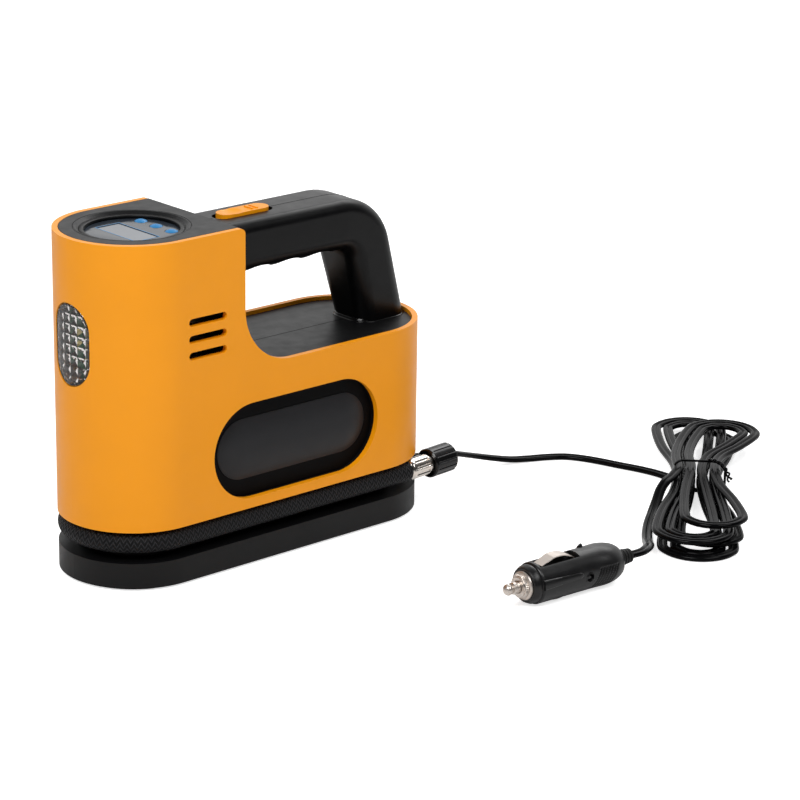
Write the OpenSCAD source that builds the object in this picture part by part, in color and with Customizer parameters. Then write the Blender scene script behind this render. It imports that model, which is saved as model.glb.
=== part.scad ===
// Portable tire inflator: a 12 V piston compressor in a two-part shell with a carrying
// handle, an air hose wound round its base and a lead that ends in a lighter plug.
// Millimetres, +Z up. +X points from the work light to the handle's leg and -Y to the side
// where the hose ends. The origin is the middle of the base, on the surface it stands on.

/* [Body] */
// Length of the body, from the work light to the rear
body_l = 214; // [200:1:236]
// Width of the body, twice the radius of its round ends
body_w = 78; // [76:1:86]
// Height of the tall front part
tall_h = 176; // [172:1:190]
// Length of the tall front part
tall_l = 78.4; // [77:0.2:84]
// Height of the low rear part
low_h = 104.3; // [102:0.1:112]
// Radius of the sweep from the low part up to the tall part
sweep_r = 30; // [20:1:32]
// Rounding of the tall part's rear corner
corner_r = 3; // [1:0.5:5]
// Height of the lower edge of the coloured shells
shell_bottom = 30.6; // [30:0.1:33]
// Wall of the coloured shells
shell_wall = 3; // [2:0.1:3.4]
// Wall of the inner housing
core_wall = 2.4; // [1.8:0.1:2.8]
// Gap between the shells and the inner housing
shell_gap = 0.3; // [0.1:0.05:0.5]
// How far the deck lies below the shells' rim
deck_drop = 2; // [1:0.1:3]

/* [Base] */
// Height of the top of the base
base_h = 14.35; // [12:0.05:16]
// How far the base stands back from the shells' outline
base_inset = 0.3; // [0:0.1:1]
// Depth of the hose groove round the base
groove_d = 11.5; // [11:0.1:13]
// Floor of the base
floor_t = 2.4; // [1.8:0.1:3.2]
// How far the rubber feet stand out below the base
foot_h = 1.2; // [0.6:0.1:2]
// Depth of the pockets that hold the feet
foot_seat = 0.8; // [0.4:0.1:1.4]
// Width of a foot
foot_w = 8; // [5:0.5:9]
// Angle that a foot spans
foot_angle = 38; // [25:1:50]
// Diameter of the middle foot
middle_foot_d = 14; // [10:0.5:20]

/* [Handle] */
// How far the handle's top lies below the cap
handle_drop = 5; // [4:0.5:7]
// Height of the grip's section
grip_h = 27; // [25:0.5:30]
// Width of the grip
grip_w = 36; // [34:0.5:40]
// Outer radius of the handle's bend
bend_r = 35; // [32:0.5:38]
// Distance from the bend's centre to the rear of the body
bend_back = 52.3; // [50:0.1:58]
// Angle at which the leg leans back
leg_lean = 18.4; // [14:0.2:20]
// Depth of the leg at its foot
foot_d = 32; // [28:0.5:34]
// Width of the leg at its foot
leg_w = 27; // [24:0.5:32]
// Rounding of the grip's shoulders
shoulder_r = 6; // [4:0.5:8]
// Pitch of the finger grooves
finger_pitch = 19.5; // [17:0.5:20]
// Depth of the finger grooves
finger_d = 2.8; // [1:0.1:3]
// Thickness of the handle's wall
grip_wall = 4; // [3:0.1:4.5]

/* [Side recess] */
// Length of the oval opening in each shell
recess_l = 107; // [96:1:110]
// Height of the oval opening
recess_h = 50; // [44:0.5:50]
// Height of the opening's centre
recess_z = 60.8; // [58:0.2:64]
// Depth of the recess floor behind the shell's surface
recess_d = 5; // [4.2:0.1:5.6]
// Length of the pillow on the recess floor
pillow_l = 96; // [84:1:98]
// Height of the pillow
pillow_h = 31.5; // [26:0.5:34]
// How far the pillow bulges
pillow_bulge = 3.2; // [2:0.1:3.8]

/* [Vents] */
// Length of a vent slot
vent_l = 23.3; // [18:0.1:26]
// Height of a vent slot
vent_h = 4; // [3:0.1:5]
// Pitch of the vent slots
vent_pitch = 8.5; // [7:0.1:10]
// Height of the middle slot
vent_z = 125.7; // [120:0.1:130]
// Number of vent slots
vent_count = 3; // [2:1:4]

/* [Work light] */
// Width of the lens
lens_w = 26.4; // [22:0.2:28]
// Height of the lens
lens_h = 41.5; // [36:0.5:44]
// Height of the lens centre
lens_z = 122.7; // [116:0.1:126]
// Seat on which the lens rests, all round
lens_seat = 1.2; // [0.8:0.1:1.6]
// Depth of the light's tray
tray_d = 13; // [10:0.5:15]

/* [Display] */
// Radius of the display opening
display_r = 24; // [22:0.2:24.5]
// Depth of the display panel below the cap
display_d = 3; // [2:0.1:3.6]
// Radius of the cone round the display, at the cap
cone_r = 28; // [27:0.1:29]
// Thickness of the cap
cap_t = 5.6; // [5:0.1:7]
// Thickness of the display panel
panel_t = 1.6; // [1:0.1:1.8]
// Length of the display window, across the body
lcd_l = 32; // [26:0.5:34]
// Width of the display window
lcd_w = 13.7; // [11:0.1:15]
// Radius of a button
button_r = 3.2; // [2.6:0.1:3.5]
// Pitch of the buttons
button_pitch = 12.3; // [11:0.1:13]
// Distance of the buttons behind the display's centre
button_x = 14.8; // [13.6:0.1:15.2]
// Travel of a button
button_travel = 0.8; // [0.4:0.1:1]

/* [Power switch] */
// Length of the switch slot
slot_l = 36; // [34:0.5:40]
// Width of the switch slot
slot_w = 11.3; // [11:0.1:13]
// Length of the slider
slider_l = 31; // [28:0.5:31]
// Clearance at each side of the slider
slider_gap = 0.4; // [0.2:0.05:0.6]
// Travel of the slider to each side
slider_travel = 2.2; // [1:0.1:2.3]
// Distance of the slot's centre behind the tall part
switch_x = 29.5; // [27:0.1:33]

/* [Compressor] */
// Teeth of the drive gear
gear_teeth = 44; // [42:1:46]
// Width of the drive gear
gear_w = 6; // [5:0.2:7]
// Height of the motor's axis
motor_z = 34; // [33:0.2:35]
// Diameter of the motor
motor_d = 36; // [32:0.5:37]
// Length of the motor
motor_l = 57; // [48:1:64]
// Stroke of the piston
stroke = 12; // [9:0.5:14]
// Bore of the cylinder
bore_d = 24; // [20:0.5:25]
// Distance from the crank pin to the piston crown
rod_l = 50; // [48:0.5:52]
// Wall of the cylinder
cylinder_wall = 2.4; // [1.8:0.1:3]
// Radial clearance of shafts in their bearings
run_gap = 0.05; // [0.02:0.01:0.08]

/* [Hose] */
// Diameter of the air hose
hose_d = 11; // [8:0.2:11.4]
// Bore of the air hose
hose_bore = 5; // [3:0.2:6]
// Height of the hose's axis
hose_z = 24; // [22:0.1:25]
// Angle at which the hose's end turns in
hose_yaw = 5; // [3:0.5:7]
// Diameter of the chrome sleeve at the hose's end
sleeve_d = 11.2; // [9:0.1:12]
// Length of the chrome sleeve
sleeve_l = 15.6; // [14:0.2:18]
// Diameter of the valve nut
nut_d = 15.6; // [15:0.2:17]
// Length of the valve nut
nut_l = 17; // [16:0.5:20]
// Bore of the valve nut, for a tyre valve's thread
valve_bore = 7.8; // [7.2:0.1:8.2]
// Length of that bore
valve_l = 7.2; // [6.4:0.1:8]

/* [Lead and plug] */
// Width of the flat lead
lead_w = 5.6; // [5:0.1:5.8]
// Thickness of the flat lead
lead_t = 2.8; // [2.2:0.1:2.8]
// Diameter of the lighter plug
plug_d = 21.2; // [20.6:0.1:21.4]
// Length of the plug's body
plug_l = 55.5; // [53:0.5:60]
// Width of a side contact
contact_w = 6.4; // [5:0.1:7]
// How far the upper side contact stands out
contact_rise = 1.6; // [1:0.1:2]
// Travel of the plug's centre tip
tip_travel = 2.5; // [1:0.1:3]

/* [Hidden] */
$fn = 72;

// Colours
shell_orange = "#ec9824";
housing_black = "#2c2c2e";
rubber_black = "#1c1c1d";
chrome = "#d8d9db";
brass = "#c9a24d";
steel = "#a9abae";

// Reference places of the body
half_l = body_l / 2;
end_r = body_w / 2;
end_x = half_l - end_r;
tall_x = tall_l - half_l;
core_r = end_r - shell_wall - shell_gap;
cavity_r = core_r - core_wall;
groove_r = end_r - groove_d;
well_r = groove_r - core_wall;
base_r = end_r - base_inset;
floor_z = foot_h + floor_t;
deck_z = low_h - deck_drop;
wall_x = tall_x - deck_drop;
cap_z = tall_h - cap_t;
far = 300;
skim = 0.02;

// Places of the handle
grip_top = tall_h - handle_drop;
bend_x = half_l - bend_back;
bend_z = grip_top - bend_r;
switch_centre = tall_x + switch_x;

// Places of the compressor
gear_module = 1;
pinion_teeth = 12;
crank_r = stroke / 2;
gear_pitch_r = gear_module * gear_teeth / 2;
pinion_pitch_r = gear_module * pinion_teeth / 2;
gear_z = motor_z + gear_pitch_r + pinion_pitch_r;
frame_t = 4;
frame_x = wall_x - 0.4;
cylinder_x = wall_x - 19.4;
gear_x = frame_x - 3 - gear_w;
crank_gap = 0.3;
rod_t = 8;
shaft_d = 6;
motor_shaft_d = 3.2;
shelf_t = 4;
crown_top = gear_z + crank_r + rod_l;
crown_low = gear_z - crank_r + rod_l;
shelf_z = gear_z + 30;
board_x = frame_x + 14;
board_z = gear_z + 6;
board_l = 56;
cylinder_top = crown_top + 1.5;
head_t = 12;

// Places of the display
panel_top = tall_h - display_d;
panel_bottom = panel_top - panel_t;
board_t = 1.6;
board_top = panel_bottom - 5.8;
ledge_w = 2;

// Screws that join the halves, as [x, z]
screw_places = [[-end_x - 6, tall_h - 18], [-end_x - 6, 100], [-end_x - 6, 44],
    [end_x - 4, low_h - 12], [end_x - 2, 40]];
screw_d = 3;
screw_head_d = 5.6;
screw_l = 40;
screw_seat = core_r - 6;
boss_d = 8.6;
// Heights of the bands on which the shells sit
band_heights = [shell_bottom + 1.4, low_h - 10.3, tall_h - 12];

// Places of the hose's end, measured along its own axis
hose_r = groove_r + 0.5 + hose_d / 2;
hose_end = end_x + 16;
sleeve_gap = 0.4;
elbow_x = end_x + 2;
nut_start = sleeve_l - 0.3;
nut_lip = 2.7;
nut_web = 4.8;
stem_end = nut_start + nut_l - valve_l - 2.6;
stem_d = 6;

// Places of the lead
grommet_y = -15;
grommet_z = 19.5;
grommet_x = end_x + 28;
grommet_l = 17;

// ---------------------------------------------------------------- shared shapes

// Outline of the body, with round ends of radius r
module stadium(r) {
    for (side = [-1, 1]) translate([side * end_x, 0]) circle(r);
    square([2 * end_x, 2 * r], center = true);
}

// Oval with round ends, l long and h high
module racetrack(l, h) {
    for (side = [-1, 1]) translate([side * (l - h) / 2, 0]) circle(h / 2);
    square([l - h, h], center = true);
}

// Upright oval with round ends, w wide and h high
module upright_oval(w, h) {
    rotate(90) racetrack(h, w);
}

// Rectangle with rounded corners
module rounded_rect(w, h, r) {
    for (x = [-1, 1], y = [-1, 1]) translate([x * (w / 2 - r), y * (h / 2 - r)]) circle(r);
    square([w - 2 * r, h], center = true);
    square([w, h - 2 * r], center = true);
}

// Side view of the body, drop mm inside its outline
module side_profile(drop, top, bottom) {
    translate([-half_l, bottom]) square([body_l, low_h - drop - bottom]);
    translate([-half_l, bottom]) square([tall_l - drop, top - bottom]);
    difference() {
        translate([tall_x - drop, low_h - drop]) square(sweep_r + drop);
        translate([tall_x + sweep_r, low_h + sweep_r]) circle(sweep_r + drop);
    }
}

// A shape drawn in X and Z, extruded from y0 to y1
module across(y0, y1) {
    translate([0, y1, 0]) rotate([90, 0, 0]) linear_extrude(y1 - y0) children();
}

// A shape drawn in Y and Z, extruded from x0 to x1
module along(x0, x1) {
    translate([x0, 0, 0]) rotate([90, 0, 90]) linear_extrude(x1 - x0) children();
}

// A round bar along X at height z
module bar_x(x0, x1, z, d, y = 0) {
    translate([x0, y, z]) rotate([0, 90, 0]) cylinder(d = d, h = x1 - x0);
}

// A round bar along Y
module bar_y(y0, y1, x, z, d) {
    translate([x, y1, z]) rotate([90, 0, 0]) cylinder(d = d, h = y1 - y0);
}

// Keeps the near half (side -1) or the far half (side 1)
module half(side) {
    intersection() {
        children();
        translate([-far, side < 0 ? -far : 0, -far]) cube([2 * far, far, 2 * far]);
    }
}

// A closed skin through rings of points, with flat ends
module loft(rings) {
    n = len(rings[0]);
    last = (len(rings) - 1) * n;
    points = [for (ring = rings) each ring];
    sides = [for (i = [0:len(rings) - 2], j = [0:n - 1]) let (a = i * n + j,
        b = i * n + (j + 1) % n) each [[a, b, b + n], [a, b + n, a + n]]];
    start = [for (j = [n - 1:-1:0]) j];
    end = [for (j = [0:n - 1]) last + j];
    polyhedron(points = points, faces = concat([start], sides, [end]));
}

// ---------------------------------------------------------------- shells

module vent_slots() {
    for (i = [0:vent_count - 1])
        translate([-end_x + 16.05, vent_z + (i - (vent_count - 1) / 2) * vent_pitch])
            racetrack(vent_l, vent_h);
}

module recess_oval(grow = 0) {
    translate([5, recess_z]) racetrack(recess_l + 2 * grow, recess_h + 2 * grow);
}

module lens_oval(grow = 0) {
    translate([0, lens_z]) upright_oval(lens_w + 2 * grow, lens_h + 2 * grow);
}

module shell(side) {
    color(shell_orange) half(side) difference() {
        translate([0, 0, shell_bottom]) linear_extrude(tall_h - shell_bottom) difference() {
            stadium(end_r);
            stadium(end_r - shell_wall);
        }
        across(-far, far) difference() {
            translate([-far, 0]) square([2 * far, far]);
            difference() {
                side_profile(0, tall_h, 0);
                translate([tall_x - corner_r, tall_h - corner_r]) difference() {
                    square(corner_r + 1);
                    circle(corner_r);
                }
            }
        }
        across(-far, far) recess_oval();
        across(-far, far) vent_slots();
        along(-far, -end_x) lens_oval(shell_gap);
        if (side > 0) for (p = screw_places) bar_y(0, far, p[0], p[1], screw_head_d + 1.2);
    }
}
module shell_near() { shell(-1); }
module shell_far() { shell(1); }

// ---------------------------------------------------------------- inner housing

// Convex pillow on the recess floor, drawn for the near side
module pillow() {
    r = (pow(pillow_h / 2, 2) + pow(pillow_bulge, 2)) / (2 * pillow_bulge);
    floor_y = recess_d - end_r;
    centre_y = floor_y - pillow_bulge + r;
    reach = (pillow_l - pillow_h) / 2;
    intersection() {
        union() {
            bar_x(5 - reach, 5 + reach, recess_z, 2 * r, centre_y);
            for (s = [-1, 1]) translate([5 + s * reach, centre_y, recess_z]) sphere(r);
        }
        across(floor_y - pillow_bulge - 1, floor_y + 0.5)
            translate([5, recess_z]) racetrack(pillow_l, pillow_h);
    }
}

// Hollow of the housing, above the hose groove and inside its wall
module housing_cavity() {
    intersection() {
        translate([0, 0, shell_bottom + core_wall])
            linear_extrude(cap_z - shell_bottom - core_wall) stadium(cavity_r);
        across(-far, far) side_profile(deck_drop + core_wall, cap_z, 0);
    }
    translate([0, 0, floor_z]) linear_extrude(shell_bottom + core_wall - floor_z + skim)
        stadium(well_r);
}

module foot_ring(grow, z0, z1) {
    for (end = [0, 180], side = [-1, 1])
        rotate(end) translate([end_x, 0, z0])
            rotate(side * 48 - foot_angle / 2 - grow) rotate_extrude(angle = foot_angle + 2 * grow)
                translate([(base_r + groove_r) / 2 - foot_w / 2 - 1 - grow / 4, 0])
                    square([foot_w + grow / 2, z1 - z0]);
    translate([0, 0, z0]) cylinder(d = middle_foot_d + grow / 2, h = z1 - z0);
}

// Ribs that cradle the motor
module motor_cradle() {
    for (x = [frame_x + frame_t + 10, frame_x + frame_t + motor_l - 8])
        difference() {
            translate([x, -well_r - 1, floor_z - 1]) cube([3, 2 * well_r + 2, motor_z - floor_z + 1]);
            bar_x(x - 1, x + 4, motor_z, motor_d);
        }
}

module housing(side) {
    color(housing_black) half(side) {
        difference() {
            union() {
                intersection() {
                    union() {
                        translate([0, 0, shell_bottom])
                            linear_extrude(tall_h - shell_bottom) stadium(core_r);
                        for (z = band_heights) translate([0, 0, z])
                            linear_extrude(2) stadium(core_r + shell_gap);
                    }
                    across(-far, far) side_profile(deck_drop, tall_h, 0);
                }
                translate([0, 0, base_h - 1]) linear_extrude(shell_bottom - base_h + 2)
                    stadium(groove_r);
                translate([0, 0, foot_h]) linear_extrude(base_h - foot_h) stadium(base_r);
            }
            housing_cavity();
            across(-far, recess_d - end_r) recess_oval(shell_gap);
            across(end_r - recess_d, far) recess_oval(shell_gap);
            across(-far, far) vent_slots();
            along(-far, -end_x) lens_oval(-lens_seat);
            translate([-end_x, 0, 0]) {
                translate([0, 0, panel_top])
                    cylinder(r1 = display_r, r2 = cone_r, h = display_d + skim);
                translate([0, 0, panel_bottom]) cylinder(r = display_r, h = panel_t + skim);
                translate([0, 0, cap_z - 1]) cylinder(r = display_r - ledge_w, h = cap_t);
                for (i = [-1, 1]) translate([button_x, i * button_pitch, cap_z - 1])
                    cylinder(r = button_r + 0.4, h = panel_bottom - cap_z + 1 + skim);
                translate([0, 0, tall_h]) rotate_extrude() translate([cone_r + 0.7, 0])
                    circle(r = 0.4, $fn = 16);
            }
            foot_ring(0.3, foot_h - 1, foot_h + foot_seat);
            if (side < 0) bar_x(end_x, far, grommet_z, 8.2, grommet_y);
            if (side > 0) bar_y(0, groove_r + 1, elbow_x, hose_z, 8.2);
            for (p = screw_places) bar_y(screw_seat - screw_l - 1, far, p[0], p[1], screw_d);
            if (side > 0) for (p = screw_places)
                bar_y(screw_seat, far, p[0], p[1], screw_head_d + 0.6);
        }
        intersection() {
            housing_cavity();
            union() {
                for (s = [-1, 1]) across(s < 0 ? recess_d - end_r - 0.5 : end_r - recess_d - core_wall,
                    s < 0 ? recess_d - end_r + core_wall : end_r - recess_d + 0.5)
                    recess_oval(3);
                difference() {
                    for (p = screw_places) bar_y(-core_r, core_r, p[0], p[1], boss_d);
                    for (p = screw_places)
                        bar_y(screw_seat - screw_l - 1, far, p[0], p[1], screw_d);
                    for (p = screw_places)
                        bar_y(screw_seat, far, p[0], p[1], screw_head_d + 0.6);
                }
                motor_cradle();
                for (s = [-1, 1])
                    translate([board_x - 2, s * (end_r - recess_d - core_wall - 1.5) - 1.7,
                        board_z - 2]) cube([board_l + 4, 3.4, 2]);
            }
        }
        pillow();
        mirror([0, 1, 0]) pillow();
    }
}
module housing_near() { housing(-1); }
module housing_far() { housing(1); }

// Arched rubber feet near the corners of the base and a round one in its middle, in pockets
module rubber_feet() {
    color(rubber_black) foot_ring(0, 0, foot_h + foot_seat);
}

module cross_screw(length, head) {
    difference() {
        union() {
            cylinder(d = screw_d, h = length);
            translate([0, 0, length]) cylinder(d = head, h = 2);
        }
        for (turn = [0, 90]) rotate(turn) translate([-1.6, -0.35, length + 1]) cube([3.2, 0.7, 2]);
    }
}

// Screws that pull the halves together, from the far side
module housing_screws() {
    color(steel) for (p = screw_places)
        translate([p[0], screw_seat - screw_l, p[1]]) rotate([-90, 0, 0])
            cross_screw(screw_l, screw_head_d);
}

// ---------------------------------------------------------------- handle

// One station of the handle: outer point x, z, direction of the outside, depth,
// half width, shoulder radius
function grip_station(x) = [x, grip_top, 90, grip_h, grip_w / 2, shoulder_r];
function bend_station(t) = let (a = 90 - t * (90 - leg_lean))
    [bend_x + bend_r * cos(a), bend_z + bend_r * sin(a), a, grip_h + t,
     grip_w / 2 - t, shoulder_r + 2 * t];
leg_run = (bend_z + bend_r * sin(leg_lean) - deck_z + 8) / cos(leg_lean);
function leg_station(t) = let (run = leg_run * t)
    [bend_x + bend_r * cos(leg_lean) + run * sin(leg_lean),
     bend_z + bend_r * sin(leg_lean) - run * cos(leg_lean), leg_lean,
     grip_h + 1 + (foot_d - grip_h - 1) * t, grip_w / 2 - 1 - (grip_w / 2 - 1 - leg_w / 2) * t,
     shoulder_r + 2 + 3 * t];

corner_steps = 8;
under_r = 9;
// Half of the section at a station, from the middle of its outside to that of its inside
function handle_ring(s, side) = let (n = [cos(s[2]), sin(s[2])], depth = s[3], w = s[4], r = s[5],
    section = concat([[0, 0]],
        [for (i = [0:corner_steps]) let (a = 90 - 90 * i / corner_steps)
            [w - r + r * cos(a), r - r * sin(a)]],
        [for (i = [0:corner_steps]) let (a = 90 * i / corner_steps)
            [w - under_r + under_r * cos(a), depth - under_r + under_r * sin(a)]],
        [[0, depth]]))
    [for (p = section) [s[0] - n[0] * p[1], side * p[0], s[1] - n[1] * p[1]]];

bend_steps = 12;
leg_steps = 5;
handle_stations = concat([grip_station(wall_x), grip_station((wall_x + bend_x) / 2)],
    [for (i = [0:bend_steps]) bend_station(i / bend_steps)],
    [for (i = [1:leg_steps]) leg_station(i / leg_steps)]);

// Hollow of the handle, from the switch to the leg
module handle_hollow() {
    inner_w = grip_w - 2 * grip_wall;
    leg_in = leg_w - 2 * grip_wall;
    across(-inner_w / 2, inner_w / 2)
        translate([wall_x + 6, grip_top - grip_h + grip_wall + finger_d])
            square([bend_x - wall_x - 6, grip_h - 2 * grip_wall - finger_d]);
    across(-leg_in / 2, leg_in / 2) {
        translate([bend_x, bend_z]) intersection() {
            difference() {
                circle(bend_r - grip_wall);
                circle(bend_r - grip_h + grip_wall + finger_d);
            }
            rotate(leg_lean) square(bend_r);
            square(bend_r);
        }
        translate([bend_x, bend_z]) rotate(leg_lean)
            translate([bend_r - grip_h + grip_wall + 3, -leg_run + 14])
                square([grip_h - 2 * grip_wall - 3.6, leg_run - 12]);
    }
}

module handle_half() {
    finger_r = (pow(finger_pitch / 2, 2) + pow(finger_d, 2)) / (2 * finger_d);
    difference() {
        loft([for (s = handle_stations) handle_ring(s, -1)]);
        translate([-far, -far, deck_z - far]) cube([2 * far, 2 * far, far]);
        handle_hollow();
        for (i = [0:2]) bar_y(-far, far, switch_centre + finger_pitch * i,
            grip_top - grip_h + finger_d - finger_r, 2 * finger_r);
        translate([switch_centre, 0, grip_top - grip_wall - 1])
            linear_extrude(far) racetrack(slot_l, slot_w);
    }
}
module handle_near() { color(housing_black) handle_half(); }
module handle_far() { color(housing_black) mirror([0, 1, 0]) handle_half(); }

// ---------------------------------------------------------------- display

module display_panel() {
    color("#c9d7df") translate([-end_x, 0, panel_bottom]) difference() {
        cylinder(r = display_r - 0.2, h = panel_t);
        translate([-9.7, -lcd_l / 2, -1]) cube([lcd_w, lcd_l, panel_t + 2]);
        for (i = [-1:1]) translate([button_x, i * button_pitch, -1])
            cylinder(r = button_r + 0.2, h = panel_t + 2);
    }
}

module display_window() {
    color("#b9c6c4") translate([-end_x - 9.7 + 0.1, 0.1 - lcd_l / 2, panel_bottom - 1.2])
        cube([lcd_w - 0.2, lcd_l - 0.2, panel_t + 1.0]);
}

// Board under the display, on posts below the cap, with a key under each button
module display_board() {
    key_top = panel_bottom - 4.4;
    color("#2f6b45") translate([-end_x, 0, 0]) {
        translate([0, 0, board_top - board_t]) cylinder(r = display_r + 2, h = board_t);
        for (a = [70, 130, 230, 290]) rotate(a) translate([display_r, 0, board_top - skim])
            cylinder(d = 3, h = cap_z - board_top + skim);
        for (i = [-1:1]) translate([button_x, i * button_pitch, board_top - skim])
            cylinder(r = 1.6, h = key_top - board_top - button_travel + skim);
        translate([-9.2, 0.6 - lcd_l / 2, board_top - skim])
            cube([lcd_w - 1, lcd_l - 1.2, panel_bottom - 1.2 - board_top + skim]);
    }
}

// Domed button with a flange below the panel
module display_button(place) {
    dome = 1;
    dome_r = (pow(button_r, 2) + pow(dome, 2)) / (2 * dome);
    color("#3d8fd0") translate([-end_x + button_x, place * button_pitch, 0]) {
        translate([0, 0, panel_bottom - 4.2]) cylinder(r = button_r, h = panel_t + 4.2);
        translate([0, 0, cap_z - 1.05]) cylinder(r = button_r + 0.9, h = 1);
        intersection() {
            translate([0, 0, panel_top + dome - dome_r]) sphere(dome_r);
            translate([0, 0, panel_top - skim]) cylinder(r = button_r, h = dome + 1);
        }
    }
}
module button_left() { display_button(-1); }
module button_centre() { display_button(0); }
module button_right() { display_button(1); }

// ---------------------------------------------------------------- power switch

module power_slider() {
    slider_w = slot_w - 2 * slider_gap;
    top = grip_top + 1.6;
    color(shell_orange) translate([switch_centre, 0, 0]) difference() {
        union() {
            translate([0, 0, grip_top - grip_wall - 0.6]) linear_extrude(grip_wall + 2.2)
                racetrack(slider_l, slider_w);
            translate([-2, -1.5, grip_top - grip_wall - 6]) cube([4, 3, 6]);
            for (x = [3.6, 6.6]) translate([x, -3.2, top - 0.5]) cube([1.1, 6.4, 1.1]);
        }
        translate([-6.5, 0, top + 13.4]) sphere(14.6);
    }
}

module switch_body() {
    top = grip_top - grip_wall - 1.6;
    bottom = grip_top - grip_h + grip_wall + finger_d;
    color("#3a3a3c") difference() {
        translate([switch_centre - 14, -6, bottom]) cube([28, 12, top - bottom]);
        translate([switch_centre - 2 - slider_travel - 0.3, -1.8, top - 5])
            cube([4 + 2 * slider_travel + 0.6, 3.6, 6]);
    }
}

// ---------------------------------------------------------------- work light

module light_lens() {
    color("#dfe7ea", 0.6) intersection() {
        along(-half_l, -end_x) lens_oval();
        translate([-end_x, 0, 0]) difference() {
            cylinder(r = end_r, h = tall_h);
            translate([0, 0, -1]) cylinder(r = core_r, h = tall_h + 2);
        }
    }
}

// Tray behind the lens, closed at its back
module light_tray() {
    color("#d9dbde") difference() {
        intersection() {
            along(-end_x - core_r, tray_d - end_x - core_r) lens_oval(-lens_seat - 0.05);
            translate([-end_x, 0, 0]) cylinder(r = core_r - 0.2, h = tall_h);
        }
        along(-half_l, tray_d - end_x - core_r - 1.2) lens_oval(-lens_seat - 1.2);
    }
}

// Board on the tray's floor, with two square lamps
module light_board() {
    back = tray_d - end_x - core_r - 1.2;
    color("#2e7d4f") along(back - board_t, back) lens_oval(-lens_seat - 1.6);
    color("#f3d64a") for (z = [-8, 8])
        translate([back - board_t - 1.4, -2.6, lens_z + z - 2.6]) cube([1.4 + skim, 5.2, 5.2]);
}

// ---------------------------------------------------------------- compressor

// Involute gear outline, with a tooth on +X
function roll(r, base_r) = let (a = acos(min(1, base_r / r))) tan(a) - a * PI / 180;
module gear_outline(teeth) {
    pitch_r = gear_module * teeth / 2;
    base_circle = pitch_r * cos(20);
    root_r = pitch_r - 1.25 * gear_module;
    tip_r = pitch_r + 0.78 * gear_module;
    backlash = 0.16;
    radii = [root_r, max(root_r + 0.1, base_circle), (base_circle + tip_r) / 2 + 0.2, tip_r];
    half_tooth = function (r) (90 / teeth) - backlash / 4 / pitch_r * 180 / PI
        + (roll(pitch_r, base_circle) - roll(max(r, base_circle), base_circle)) * 180 / PI;
    polygon([for (i = [0:teeth - 1]) let (mid = 360 * i / teeth) each concat(
        [for (r = radii) r * [cos(mid - half_tooth(r)), sin(mid - half_tooth(r))]],
        [for (k = [len(radii) - 1:-1:0]) let (r = radii[k])
            r * [cos(mid + half_tooth(r)), sin(mid + half_tooth(r))]])]);
}

// Motor: can, rear cap with terminals and front boss
module motor_can() {
    x0 = frame_x + frame_t;
    x1 = x0 + motor_l;
    color(steel) difference() {
        union() {
            bar_x(x0, x1 - 7, motor_z, motor_d);
            bar_x(x1 - 7 - skim, x1, motor_z, motor_d - 3);
            bar_x(x0 - 2, x0 + skim, motor_z, 13);
            for (s = [-1, 1]) translate([x1 - skim, s * 9 - 0.4, motor_z - 2.5]) cube([6, 0.8, 5]);
        }
        bar_x(x0 - 3, x1 - 3, motor_z, motor_shaft_d + 2 * run_gap);
    }
}

module motor_shaft() {
    color(chrome) bar_x(gear_x - 1.5, frame_x + frame_t + motor_l - 4, motor_z, motor_shaft_d);
}

module motor_pinion() {
    color(brass) difference() {
        translate([gear_x - 1, 0, motor_z]) rotate([90, 0, 90]) rotate(90 + 180 / pinion_teeth)
            linear_extrude(gear_w + 2) gear_outline(pinion_teeth);
        bar_x(gear_x - 2, gear_x + gear_w + 2, motor_z, motor_shaft_d);
    }
}

// Drive gear with the crank pin and its counterweight on the front
module drive_gear() {
    web_t = 2.2;
    color("#e7e2d3") difference() {
        union() {
            translate([gear_x, 0, gear_z]) rotate([90, 0, 90]) rotate(-90)
                linear_extrude(gear_w) gear_outline(gear_teeth);
            bar_x(cylinder_x + rod_t / 2 + crank_gap, gear_x + skim, gear_z - crank_r, 5);
            bar_x(gear_x - 1.6, gear_x + skim, gear_z, 2 * crank_r + 12);
        }
        translate([gear_x + web_t, 0, gear_z]) rotate([0, 90, 0]) difference() {
            cylinder(r = gear_pitch_r - 4, h = gear_w);
            translate([0, 0, -1]) cylinder(d = shaft_d + 8, h = gear_w + 2);
            for (a = [0:60:300]) rotate(a) translate([0, -1, -1])
                cube([gear_pitch_r, 2, gear_w + 2]);
        }
        bar_x(gear_x + 1, gear_x + gear_w + 1, gear_z, shaft_d);
    }
}

module gear_shaft() {
    color(chrome) bar_x(gear_x + 1, frame_x + frame_t + 8, gear_z, shaft_d);
}

module gear_bearing() {
    color(brass) difference() {
        union() {
            bar_x(frame_x - 1.5, frame_x + frame_t + 7, gear_z, shaft_d + 6);
            bar_x(frame_x - 1.5, frame_x, gear_z, shaft_d + 9);
        }
        bar_x(frame_x - 2, frame_x + frame_t + 8, gear_z, shaft_d + 2 * run_gap);
    }
}

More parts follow.
